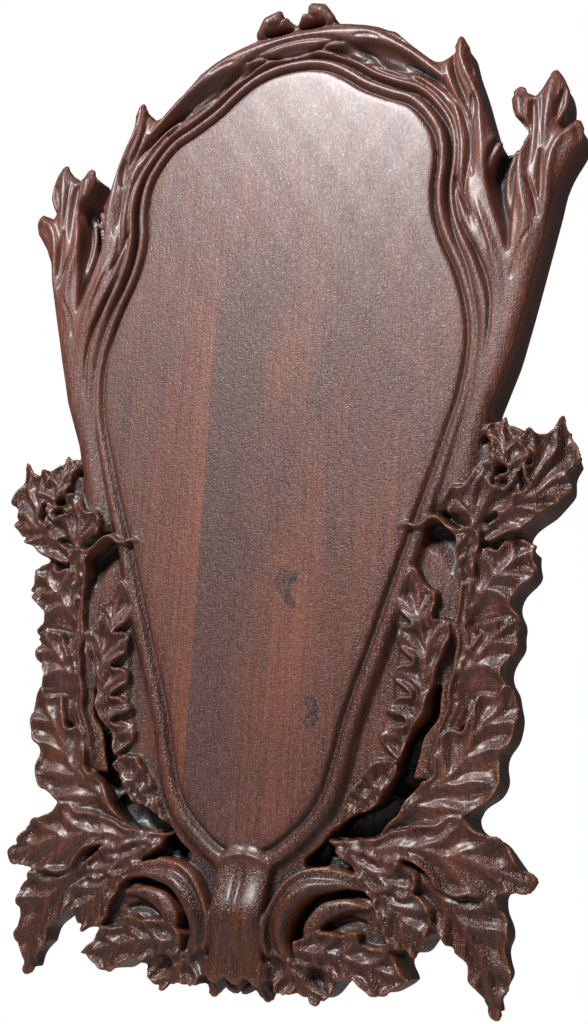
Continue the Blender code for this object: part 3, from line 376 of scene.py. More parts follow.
def cut_gaps(relief):
    """The deep gaps between the backing and the leaves."""
    relief.hollow([(40, 73), (52, 83), (65, 90.5), (80, 98), (88, 104)], [1, 2, 3, 4, 2], -19, 8)
    relief.hollow([(86, 113), (93, 118)], [3, 3.5], -19, 8)
    relief.hollow([(92, 122), (98, 134), (104, 146), (109, 158), (111, 166)], [3, 3, 2.5, 1.5, 0.5],
                  -17, 8)


def carve_stems(relief):
    """The raised bed between the inner leaves and the column, with the stems that run up it."""
    relief.slab([(96, 118), (110, 118), (120, 140), (134, 156), (146, 169), (150, 177), (155, 190),
                 (155, 204), (150, 210), (157, 219), (161, 232), (160, 246), (150, 253), (134, 256),
                 (120, 240), (118, 205), (114.5, 185), (113, 165), (108, 150), (102, 135)], -4.5)
    for shift, low in ((0, 0.5), (4.2, -0.5), (8, -2)):
        relief.strand([(108 + shift, 122), (112 + shift, 140), (118 + shift, 160), (121.5 + shift, 180),
                       (122.5 + shift, 205), (123.5 + shift, 228), (126 + shift, 250)],
                      [1.6, 2.2, 2.4, 2.2, 2, 1.8], [low - 3, low - 1, low, low, low, low], shoulder=3)


def carve_column(relief):
    """The column of leaves beside the backing, with its stem."""
    relief.leaf([(127, 200), (127, 213), (128, 226), (129, 234), (133, 240), (139, 241.5), (145, 240.5),
                 (149, 246), (156, 248), (163, 245.5), (167, 241), (163.5, 236), (166, 228), (161, 221.5),
                 (156, 219), (153.5, 211), (157, 204), (150, 200), (140, 197), (132, 196)],
                [(126, 203), (136, 218), (148, 232), (164, 242)],
                [(0.45, 134, 238), (0.7, 152, 247), (0.5, 163, 224), (0.3, 150, 214)], (-4, 0, 0, -4))
    relief.leaf([(121, 160), (123, 178), (127, 187), (132, 193), (138, 201), (147, 202.5), (154, 206),
                 (158, 201), (155.5, 195), (156.5, 188), (152, 180.5), (149, 175), (150, 168), (152, 162),
                 (142, 157), (130, 155)],
                [(120, 165), (130, 178), (142, 192), (155, 203)],
                [(0.4, 128, 188), (0.65, 141, 201), (0.55, 153, 189), (0.3, 143, 175)], (-4, 0, 0, -4))
    relief.leaf([(52, 86), (75, 90), (90, 99), (98, 110), (103, 116.5), (107, 117), (110, 121), (112, 131),
                 (114.5, 142), (120, 145), (126.5, 144), (129, 152), (132, 161), (137, 163.5), (143, 163),
                 (147.5, 168), (152.5, 170), (155, 162), (157.5, 152), (156, 142.5), (151.5, 136),
                 (146.5, 131), (147.5, 124), (149, 117), (145, 108), (139, 103), (128, 98.5), (115, 95),
                 (95, 89), (75, 84)],
                [(60, 86), (88, 95), (108, 110), (125, 128), (139, 148), (152, 168)],
                [(0.4, 106, 115), (0.5, 114, 142), (0.7, 131, 160), (0.3, 128, 103), (0.45, 140, 116),
                 (0.6, 146, 133), (0.75, 153, 150)], (-6, -3, 0, 0, -1, -4))


def carve_top_cluster(relief):
    """The sprays at the top of the foliage."""
    relief.leaf([(128, 250), (136, 258), (150, 268), (160, 275), (158, 285), (155, 295), (157, 304),
                 (161, 307.5), (165, 304.5), (170, 304), (174, 309), (178, 313.5), (182, 308), (184, 301),
                 (187, 296), (188.5, 289), (186, 284), (181, 280.5), (185, 276), (186, 272), (182, 267),
                 (175, 262.5), (166, 257.5), (158, 252), (148, 247), (136, 244)],
                [(130, 248), (146, 259), (160, 268), (184, 272)],
                [(0.45, 178, 311), (0.42, 162, 306), (0.55, 187, 291), (0.5, 183, 281), (0.6, 182, 268),
                 (0.4, 168, 259)], (1, 2.5, 2, -4), gap=5)
    relief.hollow([(158, 290), (160, 288.5)], [0.6, 0.8], -5, 5)
    relief.leaf([(146, 280), (141, 287), (138, 294), (138, 301), (135, 307), (138, 311.5), (142, 313),
                 (146, 316.5), (149.5, 313), (153, 309.5), (157, 306), (156, 300), (159, 296), (161, 291),
                 (158, 285), (155, 280), (151, 278)],
                [(150, 280), (147, 290), (146, 302), (146, 315)],
                [(0.1, 140, 293), (0.35, 137, 308), (0.1, 160, 292), (0.35, 156, 303)], (2, 3, 1, -3),
                gap=3.6, bowl=3, reach=1.8)
    relief.leaf([(130, 250), (121, 254), (115, 259), (115.5, 264), (113.5, 269), (114.5, 274), (118, 278),
                 (123, 277.5), (127, 281), (130, 286), (135, 289), (140, 288), (141.5, 283.5), (140, 278),
                 (144, 274.5), (149, 276), (153, 281), (157, 280), (157, 274), (152, 266), (144, 258),
                 (137, 252)],
                [(130, 250), (129, 262), (131, 274), (136, 287)],
                [(0.15, 114, 270), (0.25, 118, 277), (0.1, 155, 279)], (1, 2.5, 3.5, 2), gap=5)
    relief.strand([(144, 275), (147, 272), (152, 275), (156, 280)], [1.2, 1.4, 1.4, 1], [4, 4.6, 4.6, 4],
                  shoulder=2.5)
    relief.bump([(143, 279.5), (148, 281)], [3, 2.4], [3.5, 2])
    relief.hollow([(144, 285), (146.5, 284)], [1, 0.8], -5, 5)
    relief.hollow([(137, 257), (141, 258)], [1, 0.6], -4, 3)
    relief.hollow([(119.5, 257.5), (122.5, 256)], [0.8, 0.6], -5, 5)


def carve_curl(relief):
    """The leaf that curls over the bead: a thin wavy rim above a scooped blade."""
    relief.slab([(100, 256), (112, 257), (122, 252), (134, 250), (136, 236), (131, 222), (119, 222),
                 (110, 236)], -5)
    relief.hollow([(97, 253), (106, 251.5), (113, 248), (117, 240), (117.5, 232)],
                  [1, 2.5, 2.5, 1.5, 0.5], [-7, -10, -10, -9, -6], 0.7)
    relief.strand([(86.5, 257), (90, 258), (95, 256.5), (100, 256.5), (105, 258.5), (110, 258),
                   (114, 254.5), (119, 252.5), (122, 248), (121.5, 241), (123.5, 234), (122, 226),
                   (123, 220)],
                  [1, 1.5, 1.5, 1.6, 1.8, 1.8, 1.8, 2, 2, 1.6, 1.4, 1.2, 0.8],
                  [2, 3, 3, 3.5, 4.5, 4.5, 4.5, 4.5, 4, 3, 2, 1, -2], shoulder=1.5, power=3)
    relief.leaf([(118, 253), (126, 254), (133, 250), (135, 242), (132, 232), (128, 222), (124, 222),
                 (123, 230), (125, 237), (122, 246)],
                [(127, 224), (129, 236), (124, 249)], [], (-1, 2, 4), fold=1.6, gap=4, bowl=3, reach=2)


def carve_inner_leaves(relief):
    """The two leaves that lie on the backing."""
    relief.slab([(90, 127), (82, 137), (80, 143), (83, 157), (87, 174), (87, 197), (88, 216), (93, 230),
                 (100, 226), (109, 212), (118, 200), (111, 172), (99, 144)], -3)
    relief.leaf([(90, 127), (84, 133), (79, 139), (79.5, 143), (86, 146), (94, 146.5), (90, 151),
                 (82, 154), (81.5, 158), (88, 161), (96, 161), (92, 166), (87, 171), (86.5, 177),
                 (91, 180), (97, 180), (93, 185), (88, 190), (86, 196), (88, 201), (93, 201),
                 (97, 200), (93, 205), (88, 210), (86.5, 216), (88.5, 223), (91, 229), (96, 232),
                 (100, 227), (103, 221), (108, 219), (109.5, 212), (109, 203), (114, 203.5),
                 (119.5, 203), (119, 195), (115, 187), (112, 179), (110, 169), (106.5, 159),
                 (102, 149), (96.5, 138)],
                [(92, 130), (100, 150), (104, 170), (103, 190), (100, 208), (94, 228)],
                [(0.08, 81, 141), (0.18, 83, 156), (0.35, 88, 175), (0.5, 87, 197), (0.72, 88, 215),
                 (0.75, 108, 218), (0.55, 118, 201)], (-2, 0.5, 1, 1, 0), gap=4.5, bowl=4.5)
    relief.leaf([(91, 122), (88, 127.5), (83, 129), (78, 128), (74, 127), (71, 121), (67, 116), (64, 110),
                 (60, 104), (55, 96), (53, 90), (60, 93), (68, 98), (75, 101), (81, 106), (84, 112),
                 (88, 117)],
                [(89, 122), (80, 113), (68, 104), (55, 92)],
                [(0.1, 84, 128), (0.3, 75, 126), (0.5, 66, 113), (0.3, 80, 105)],
                (-1, -1, -2, -3), gap=5)


def carve_bottom_leaves(relief):
    """The big leaves of the lower corner."""
    relief.leaf([(88, 74), (100, 72), (115, 68), (130, 64), (142, 60), (148, 57), (152, 52), (155, 46),
                 (155, 40), (151, 34), (153, 29), (156, 24), (155, 17), (151, 11), (149.5, 3), (146, -3),
                 (142, -1.5), (139.5, 4), (136, 12), (131, 16), (129, 22), (128, 27), (122, 32), (118, 37),
                 (114, 42), (108, 50), (98, 58)],
                [(95, 70), (114, 60), (130, 44), (140, 26), (146, 5)],
                [(0.3, 148, 56), (0.45, 154, 43), (0.65, 155, 24), (0.85, 150, 9), (0.3, 118, 39),
                 (0.5, 128, 27), (0.7, 135, 13)], (-5, -2, -2, -4, -8))
    relief.leaf([(66, 70), (75, 70), (88, 66), (98, 60), (106, 56), (112, 50), (113, 44), (112, 38),
                 (110, 32), (106, 27), (102, 24.5), (99, 28), (95, 28), (90, 30), (88, 35), (86, 38),
                 (84, 45), (78, 54), (68, 62)],
                [(70, 67), (86, 55), (97, 42), (103, 27)],
                [(0.3, 111, 49), (0.5, 112, 38), (0.45, 87, 37), (0.65, 93, 29), (0.2, 80, 52)],
                (-2, 1, 1, -1))
    relief.leaf([(50, 84), (62, 82), (75, 78), (88, 76), (98, 72), (104, 66), (102, 58), (95, 56), (88, 60),
                 (80, 58), (72, 62), (64, 70), (55, 77)],
                [(50, 83), (70, 73), (86, 65), (102, 60)], [(0.3, 76, 60), (0.55, 90, 59), (0.5, 96, 72)],
                (-5, -1, 1, 0), gap=5)
    relief.leaf([(48, 83), (60, 84.5), (80, 88), (95, 92), (110, 95), (122, 98), (129, 99), (133, 93),
                 (140, 91), (147, 91), (153, 87), (157, 81), (162, 76), (167, 71), (168.5, 67), (164, 63),
                 (157, 61), (150, 61), (143, 58), (136, 58), (130, 60), (122, 59), (115, 62), (111, 68),
                 (105, 73), (97, 74), (85, 76), (70, 78), (55, 81)],
                [(50, 83), (80, 82), (110, 81), (135, 76), (166, 67)],
                [(0.4, 128, 97), (0.6, 146, 90), (0.8, 158, 79), (0.35, 116, 62), (0.55, 134, 59),
                 (0.75, 152, 62)], (-5, 0, 1, -1, -6))


def bend_edges_back(relief):
    """Bend the foliage back towards the wall along its outer edges, most at the tips of the lobes."""
    inside = blurred((relief.h > BACK).astype(float), round(3 / (relief.xs[1] - relief.xs[0])))
    bend = np.interp(relief.z, [300, 330], [6.5, 0])
    relief.h -= bend * (1 - np.clip(2 * inside - 1, 0, 1)) ** 2


def carve_scroll(relief):
    """The C-scroll beside the strap, with the small leaves under it."""
    relief.slab([(56, 30), (86, 27), (90, 40), (82, 54), (68, 56), (54, 46)], -4)
    path = [(76, 60), (62, 63.5), (46, 62.5), (34, 56), (26, 44), (24, 31), (29, 18), (38, 10)]
    relief.strand(path, [2.5, 5, 7.5, 8.5, 8.5, 8, 6, 3], [-1, 1.5, 3, 4, 3.5, 1.5, -1, -4], shoulder=0.5,
                  power=8, blend=0.4)
    relief.strand(offset_path(path, 6.3)[3:], 1.7, [2, 4.5, 6, 6, 4, 0.5], shoulder=1.5)
    relief.strand(offset_path(path, -2.6)[1:], [1.5, 4, 5, 5.5, 5, 4.5, 3], [1, 4, 6.5, 8, 7, 4, 0, -3],
                  shoulder=4)
    relief.strand([(76, 50), (63, 50.5), (52, 47), (44.5, 38), (43, 27)], [1.5, 4, 5.5, 5.5, 3],
                  [-1, 0, 1, 1.5, 1], shoulder=2)
    relief.hollow([(55, 39.5), (64, 43), (74, 42)], [0.5, 1.3, 0.4], -7, 2.5)
    relief.leaf([(34, 30), (44, 35), (54, 37), (62, 36), (69, 38), (73, 37), (74, 33), (80, 31), (87, 31),
                 (92, 28), (96, 21), (103, 15), (100, 13), (94, 10), (88, 6), (80, 6), (75, 10), (68, 13),
                 (60, 12), (50, 11), (42, 14), (36, 20)],
                [(38, 26), (60, 25), (80, 21), (102, 14)],
                [(0.15, 60, 36), (0.35, 72, 37), (0.6, 90, 29), (0.55, 84, 7), (0.3, 66, 13),
                 (0.1, 50, 12)], (2, 3, 2, 0), gap=5)
    relief.leaf([(20, 24), (30, 22), (40, 18), (50, 17), (57, 15), (60, 10), (57, 4), (52, 0), (47, -2),
                 (42, 1), (36, 3), (30, 1), (25, 2.5), (20, 5), (18, 14)],
                [(26, 22), (36, 12), (46, 1)], [(0.3, 58, 9), (0.5, 53, 3), (0.5, 32, 2), (0.2, 22, 6)],
                (0, -0.5, -2), gap=4)
    relief.hollow([(46, 13), (50, 10)], [0.8, 0.8], -7, 1.6)
    relief.leaf([(0, 12), (8, 13), (17, 12), (23, 5), (21, -1.5), (17, -3.5), (13, -2), (9, 1.5), (4, 0),
                 (0, 1)],
                [(6, 13), (12, 6), (17, -1)], [(0.3, 22, 2), (0.3, 5, 3)], (-6, -6, -8), gap=4, bowl=1.5)


def carve_panel(relief, off_panel):
    """The flat panel and the rounded bead around it."""
    face = -np.maximum(off_panel, 0) * WALL_SLOPE
    relief.add(..., np.where(off_panel > 3, NOTHING, face))
    centre = np.interp(relief.z, [230, 300, 360, 420], [7.3, 6.2, 5, 4.8])
    half = np.interp(relief.z, [230, 300, 360, 420], [4.4, 3.8, 3.2, 3.1])
    r = np.abs(off_panel - centre) / half
    bead = 0.4 - 2.6 * np.minimum(r, 1) ** 2.8 - np.maximum(r - 1, 0) * half * 4
    relief.add(..., np.where((r > 1.6) | (off_panel < 0) | (relief.z < 66), NOTHING, bead))


def carve_strap(relief):
    """The flared and fluted strap at the bottom, which curls over the panel's edge."""
    x, z = relief.x, relief.z
    half = np.interp(z, [5, 14, 20, 27, 42, 56, 68, 76], [20.5, 20, 17.6, 16.2, 16.2, 17, 18.5, 17])
    crest = smooth_path([(4, 4.5), (11, 4), (20, 5), (30, 7), (40, 8.4), (47, 8), (54, 5.4), (61, 2.8),
                         (68, 1.4), (78, 1.6)])
    crest = np.interp(z, *crest.T)
    arch = 75 - 6.5 * (x / 18) ** 2
    curl = np.clip((z - arch) / 5, 0, 1)
    lip = np.clip(1 - np.abs(z - arch + 0.5) / 1.8, 0, 1)
    crest = crest - 3 * (1 - np.sqrt(1 - curl ** 2)) + 1.8 * lip * (2 - lip)
    flute = np.interp(z, [10, 35, 50, 62, 72], [0.5, 0.4, 1.6, 1.8, 0.6])
    crest = crest - flute * (0.5 + 0.5 * np.cos(np.clip(x / 4.5, -1, 1) * np.pi))
    scallop = 7 - 1.8 * np.cos(x / 20 * 3 * np.pi)
    depth = np.minimum(np.minimum(half - x, arch + 4.8 - z), z - scallop)
    edge = 1.2 * np.clip(1 - depth / 1.2, 0, 1) ** 2 + np.maximum(-depth, 0) * WALL_SLOPE
    relief.add(..., crest - 3 * np.clip(x / half, 0, 1) ** 5 - edge)


def carve(step):
    """All layers, from the deepest to the highest, over a grid with the given step."""
    xs = np.arange(0, DRAWN_HALF_WIDTH + step, step)
    zs = np.arange(-MARGIN, DRAWN_HEIGHT + MARGIN + step, step)
    relief = Relief(xs, zs)
    rim = smooth_path(PANEL_EDGE)
    outline = np.vstack([rim, rim[-2:0:-1] * [-1, 1]])
    off_panel = -relief.inside(outline, ...)[0]
    relief.off_panel = off_panel
    carve_ground(relief)
    carve_backing(relief, off_panel)
    carve_branches(relief, off_panel)
    carve_strands(relief, off_panel)
    carve_stubs(relief)
    carve_crown(relief)
    relief.sway(0.9)
    cut_gaps(relief)
    carve_stems(relief)
    carve_column(relief)
    carve_top_cluster(relief)
    carve_curl(relief)
    carve_inner_leaves(relief)
    carve_bottom_leaves(relief)
    bend_edges_back(relief)
    relief.sway(0.25)
    carve_scroll(relief)
    relief.sway(0)
    carve_panel(relief, off_panel)
    carve_strap(relief)
    return relief


def blurred(values, reach):
    """An even blur over a box that reaches so many cells each way, done twice."""
    width = 2 * reach + 1
    for axis in (0, 1, 0, 1):
        pad = [(reach + 1, reach) if k == axis else (0, 0) for k in (0, 1)]
        sums = np.cumsum(np.pad(values, pad, mode="edge"), axis=axis)
        count = values.shape[axis]
        ends = np.take(sums, range(width, width + count), axis=axis)
        starts = np.take(sums, range(count), axis=axis)
        values = (ends - starts) / width
    return values


def highest_near(values, reach):
    """The highest value within so many cells each way."""
    for axis in (0, 1):
        values = np.max([np.roll(values, k, axis) for k in range(-reach, reach + 1)], axis=0)
    return values


def read_grid(values, rows, columns):
    """Values of a grid at places between its points."""
    r = np.clip(rows, 0, values.shape[0] - 1.001)
    c = np.clip(columns, 0, values.shape[1] - 1.001)
    r0, c0 = r.astype(int), c.astype(int)
    fr, fc = r - r0, c - c0
    low = values[r0, c0] * (1 - fc) + values[r0, c0 + 1] * fc
    high = values[r0 + 1, c0] * (1 - fc) + values[r0 + 1, c0 + 1] * fc
    return low * (1 - fr) + high * fr


def undercut(heights, step, places):
    """Draw the walls in below their edges, as a carver cuts them back. Each place moves uphill,
    furthest where little wood is near, so the back has a rounder outline than the front."""
    solid = np.maximum(heights, BACK)
    rows = (places[:, 1] + MARGIN) / step
    columns = places[:, 0] / step + (heights.shape[1] - 1) / 2
    drop = read_grid(highest_near(solid, round(3 / step)) - solid, rows, columns)
    share = np.clip((drop - 2) / 11, 0, 1)
    wood = blurred(1 - solid / BACK, round(4 / step))
    hill_z, hill_x = np.gradient(wood, step)
    for _ in range(UNDERCUT_STEPS):
        rise_x, rise_z, near = (read_grid(grid, rows, columns) for grid in (hill_x, hill_z, wood))
        pace = share * (2 - share) * (0.15 + 0.85 * np.clip((0.74 - near) / 0.12, 0, 1))
        pace *= UNDERCUT / UNDERCUT_STEPS / step / (np.hypot(rise_x, rise_z) + 0.005)
        rows += pace * rise_z
        columns += pace * rise_x
    return (columns - (heights.shape[1] - 1) / 2) * step, rows * step - MARGIN


def draw_walls_in(mesh, heights, step, unit):
    """Move the mesh's points sideways by the undercut at their places."""
    places = np.empty(len(mesh.vertices) * 3)
    mesh.vertices.foreach_get("co", places)
    places = places.reshape(-1, 3)
    drawn = places[:, [0, 2]] / unit + [0, DRAWN_HEIGHT / 2]
    x, z = undercut(heights, step, drawn)
    places[:, 0] = x * unit
    places[:, 2] = (z - DRAWN_HEIGHT / 2) * unit
    mesh.vertices.foreach_set("co", places.ravel())


def soften(heights, rounds):
    """Round the grid's steps off with a small even blur."""
    for _ in range(rounds):
        for axis in (0, 1):
            before = np.roll(heights, 1, axis)
            after = np.roll(heights, -1, axis)
            heights = (before + 2 * heights + after) / 4
    return heights


def scrape_panel(relief):
    """The shallow waves that a scraper leaves on the panel, and its dip at the bead."""
    x, z = relief.x, relief.z
    waves = np.cos(x * 0.21) * np.sin(z * 0.13 + 1) + 0.7 * np.cos(x * 0.37) * np.sin(z * 0.29)
    relief.h += 0.06 * waves * np.clip(np.abs(relief.off_panel) / 8, 0, 1) ** 2
    dip = 0.5 * np.exp(-np.maximum(-relief.off_panel, 0) / 1.6)
    relief.h -= np.where((relief.off_panel < 0) & (z > 84), dip, 0)


def raised_mesh(heights, step, unit, thickness):
    """The heights as a surface that starts below the back plane, without the empty cells."""
    rows, columns = heights.shape
    below = 2 * WALL_SLOPE * step * unit
    y = -np.maximum(heights * unit + thickness, -below)
    x, z = np.meshgrid((np.arange(columns) - (columns - 1) / 2) * step,
                       np.arange(rows) * step - MARGIN - DRAWN_HEIGHT / 2)
    places = np.stack([x * unit, y, z * unit], axis=-1).reshape(-1, 3)
    number = np.arange(rows * columns).reshape(rows, columns)
    corners = np.stack([number[:-1, :-1], number[:-1, 1:], number[1:, 1:], number[1:, :-1]], axis=-1)
    front = y < 0
    kept = front[:-1, :-1] | front[:-1, 1:] | front[1:, 1:] | front[1:, :-1]
    faces = corners[kept]
    used = np.unique(faces)
    renumber = np.zeros(rows * columns, int)
    renumber[used] = np.arange(len(used))
    mesh = bpy.data.meshes.new(NODE)
    mesh.from_pydata(places[used], [], renumber[faces])
    return mesh


def close_at_back(mesh):
    """Cut the surface at the plane Y = 0 and close the back."""
    work = bmesh.new()
    work.from_mesh(mesh)
    bmesh.ops.bisect_plane(work, geom=work.verts[:] + work.edges[:] + work.faces[:], dist=1e-7,
                           plane_co=(0, 0, 0), plane_no=(0, 1, 0), clear_outer=True)
    rim = [edge for edge in work.edges if edge.is_boundary]
    bmesh.ops.triangle_fill(work, use_beauty=True, edges=rim)
    bmesh.ops.triangulate(work, faces=work.faces[:])
    bmesh.ops.recalc_face_normals(work, faces=work.faces[:])
    work.to_mesh(mesh)
    work.free()


def evaluated_copy(obj, modifier):
    """The object's mesh with its modifiers, which are then taken off."""
    result = bpy.data.meshes.new_from_object(obj.evaluated_get(bpy.context.evaluated_depsgraph_get()))
    obj.modifiers.remove(modifier)
    old = obj.data
    obj.data = result
    bpy.data.meshes.remove(old)


class Nodes:
    """Adds and links the nodes of a tree."""

    def __init__(self, tree):
        self.tree = tree

    def add(self, kind, inputs=None, **settings):
        node = self.tree.nodes.new(kind)
        for name, value in settings.items():
            setattr(node, name, value)
        for key, value in (inputs or {}).items():
            if isinstance(value, bpy.types.NodeSocket):
                self.tree.links.new(value, node.inputs[key])
            else:
                node.inputs[key].default_value = value
        return node

    def math(self, operation, *values):
        inputs = dict(enumerate(values))
        return self.add("ShaderNodeMath", inputs, operation=operation).outputs[0]

    def spread(self, value, low, high, to_low=0.0, to_high=1.0):
        """A value between two limits, moved to lie between two others."""
        inputs = {0: value, 1: low, 2: high, 3: to_low, 4: to_high}
        return self.add("ShaderNodeMapRange", inputs, clamp=True).outputs[0]

    def mix(self, share, first, second):
        """The first colour with a share of the second over it."""
        node = self.add("ShaderNodeMix", {0: share}, data_type="RGBA")
        for key, value in ((6, first), (7, second)):
            if isinstance(value, bpy.types.NodeSocket):
                self.tree.links.new(value, node.inputs[key])
            else:
                node.inputs[key].default_value = value
        return node.outputs[2]


def tool_mark_tree(sizes, wood):
    """Geometry nodes that leave a knife's shallow marks on the carving and set the wood."""
    tree = bpy.data.node_groups.new("knife marks", "GeometryNodeTree")
    sockets = tree.interface
    sockets.new_socket("Geometry", in_out="INPUT", socket_type="NodeSocketGeometry")
    for name, value in (("Mark Depth", sizes.mark_depth), ("Marks per Metre", sizes.marks_per_metre)):
        socket = sockets.new_socket(name, in_out="INPUT", socket_type="NodeSocketFloat")
        socket.default_value = value
    sockets.new_socket("Wood", in_out="INPUT", socket_type="NodeSocketMaterial")
    sockets.new_socket("Geometry", in_out="OUTPUT", socket_type="NodeSocketGeometry")
    nodes = Nodes(tree)
    given = nodes.add("NodeGroupInput").outputs
    carved = nodes.add("GeometryNodeInputNamedAttribute", {"Name": "carved"}, data_type="FLOAT").outputs[0]
    marks = nodes.add("ShaderNodeTexNoise", {"Scale": given["Marks per Metre"], "W": 3.0, "Detail": 1.0},
                      noise_dimensions="4D").outputs[0]
    lift = nodes.math("MULTIPLY", nodes.math("SUBTRACT", marks, 0.5), given["Mark Depth"])
    offset = nodes.add("ShaderNodeCombineXYZ", {"Y": nodes.math("MULTIPLY", lift, carved)}).outputs[0]
    moved = nodes.add("GeometryNodeSetPosition", {"Geometry": given["Geometry"], "Offset": offset})
    real = nodes.add("GeometryNodeRealizeInstances", {"Geometry": moved.outputs[0]})
    stained = nodes.add("GeometryNodeSetMaterial", {"Geometry": real.outputs[0], "Material": given["Wood"]})
    nodes.add("NodeGroupOutput", {0: stained.outputs[0]})
    return tree


def make_wood(finish):
    """Dark stained wood: glued boards with upright grain, knots, worn edges and painted shade in the cuts.
    """
    wood = bpy.data.materials.new("dark stained wood")
    wood.use_nodes = True
    wood.node_tree.nodes.clear()
    nodes = Nodes(wood.node_tree)
    place = nodes.add("ShaderNodeTexCoord").outputs["Object"]
    painted_shade_and_knot_dark, wear, carved = (nodes.add("ShaderNodeAttribute", attribute_name=name).outputs["Fac"]
                            for name in ("painted_shade_and_knot_dark", "wear", "carved"))

    def noise(stretch, scale, detail=3.0, distortion=0.0):
        mapped = nodes.add("ShaderNodeMapping", {"Vector": place, "Scale": stretch}).outputs[0]
        inputs = {"Vector": mapped, "Scale": scale, "Detail": detail, "Roughness": 0.55,
                  "Distortion": distortion}
        return nodes.add("ShaderNodeTexNoise", inputs).outputs[0]

    def both(*shares):
        """The shares multiplied, which is high only where all of them are."""
        result = shares[0]
        for share in shares[1:]:
            result = nodes.math("MULTIPLY", result, share)
        return result

    def spot(x, z, radius, stretch=1.0):
        """1 at a place on the face, falling to 0 at a radius."""
        near = nodes.add("ShaderNodeMapping", {"Vector": wavy, "Location": (-x, 0, -z * stretch),
                                               "Scale": (1, 0, stretch)}).outputs[0]
        far = nodes.add("ShaderNodeVectorMath", {0: near}, operation="LENGTH").outputs["Value"]
        return nodes.spread(far, radius, 0)

    streaks = noise((1, 1, 0.03), finish.streaks_per_metre)
    fine = noise((1, 1, 0.16), finish.pores_per_metre, detail=1.0)
    weave = noise((0.35, 1, 1), finish.pores_per_metre, detail=1.0)
    cloud = noise((1, 1, 0.3), 26.0, detail=2.0, distortion=0.8)
    drift = nodes.add("ShaderNodeTexNoise", {"Vector": place, "Scale": 60.0}).outputs[1]
    pushed = nodes.add("ShaderNodeVectorMath", {0: drift, 1: (0.016, 0, 0.016)}, operation="MULTIPLY")
    wavy = nodes.add("ShaderNodeVectorMath", {0: place, 1: pushed.outputs[0]}, operation="ADD")
    wavy = nodes.add("ShaderNodeVectorMath", {0: wavy.outputs[0], 1: (-0.008, 0, -0.008)},
                     operation="ADD").outputs[0]
    x, z = (nodes.add("ShaderNodeSeparateXYZ", {0: vector}).outputs[axis]
            for vector, axis in ((place, 0), (wavy, 2)))
    soft_x = nodes.add("ShaderNodeSeparateXYZ", {0: wavy}).outputs[0]

    colour = nodes.mix(nodes.spread(streaks, 0.33, 0.68), (*finish.stain_dark, 1), (*finish.stain_light, 1))
    colour = nodes.mix(both(nodes.spread(cloud, 0.40, 0.66), 0.5), colour, (*finish.stain_grey, 1))
    left_line, right_line = GLUE_LINES
    half_line = GLUE_LINE_WIDTH / 2
    lower = nodes.spread(z, 0.15, 0.06)
    past_left = nodes.spread(x, left_line - half_line, left_line + half_line)
    middle = both(past_left, nodes.spread(soft_x, 0.012, -0.022), lower)
    colour = nodes.mix(both(middle, 0.72), colour, (*finish.stain_grey, 1))
    colour = nodes.mix(both(spot(-0.012, 0.105, 0.035, 0.7), 0.9), colour, (*finish.stain_grey, 1))
    before_left = nodes.spread(x, left_line + half_line, left_line - half_line)
    strip = both(before_left, nodes.spread(x, -0.056, -0.046), lower)
    amber = nodes.math("MAXIMUM", spot(0.024, -0.100, 0.035, 0.45), spot(0.010, 0.065, 0.020, 0.5))
    amber = nodes.math("MAXIMUM", amber, strip)
    colour = nodes.mix(both(amber, 0.38), colour, (*finish.stain_amber, 1))
    past_right = nodes.spread(x, right_line - half_line, right_line + half_line)
    right = both(past_right, nodes.spread(soft_x, 0.085, 0.045))
    colour = nodes.mix(both(right, 0.45), colour, (*finish.stain_dark, 1))
    # The knot rings use the same near-black colour as the painted shade, here as the knots' own dark.
    for knot_x, knot_z, radius in KNOTS:
        knot = spot(knot_x, knot_z, radius, 0.8)
        ring = nodes.math("PINGPONG", nodes.math("MULTIPLY", knot, 3.0), 1.0)
        colour = nodes.mix(both(nodes.spread(knot, 0, 0.3), nodes.spread(ring, 0, 1, 0.35, 0.9)), colour,
                           (*finish.painted_shade_and_knot_dark, 1))
    speck = nodes.spread(fine, 0.55, 0.72)
    colour = nodes.mix(both(speck, 0.45), colour, (*finish.pore_light, 1))
    fibres = nodes.mix(nodes.spread(streaks, 0.40, 0.72), (*finish.carved, 1), (*finish.fibre, 1))
    colour = nodes.mix(both(carved, 0.85), colour, fibres)
    colour = nodes.mix(both(wear, 0.5), colour, (*finish.worn, 1))
    # Painted shade: the cuts, creases and deep walls are darkened towards near black by the stored shade
    # amount.
    colour = nodes.mix(painted_shade_and_knot_dark, colour, (*finish.painted_shade_and_knot_dark, 1))
    relief = nodes.math("ADD", nodes.math("ADD", fine, both(weave, 0.7)), both(streaks, 0.4))
    strength = nodes.spread(carved, 0, 1, 0.6, 1)
    bump = nodes.add("ShaderNodeBump", {"Height": relief, "Strength": strength, "Distance": 0.0006})
    rough = nodes.spread(nodes.math("ADD", fine, both(painted_shade_and_knot_dark, 0.4)), 0.3, 0.9,
                         finish.roughness - 0.08, finish.roughness + 0.22)
    rough = nodes.math("SUBTRACT", rough, both(carved, 0.13))
    shader = nodes.add("ShaderNodeBsdfPrincipled", {"Base Color": colour, "Roughness": rough,
                                                    "Normal": bump.outputs[0]})
    shader.inputs["IOR"].default_value = 1.5
    shader.inputs["Coat Weight"].default_value = finish.varnish
    shader.inputs["Coat Roughness"].default_value = 0.25
    nodes.add("ShaderNodeOutputMaterial", {"Surface": shader.outputs[0]})
    return wood


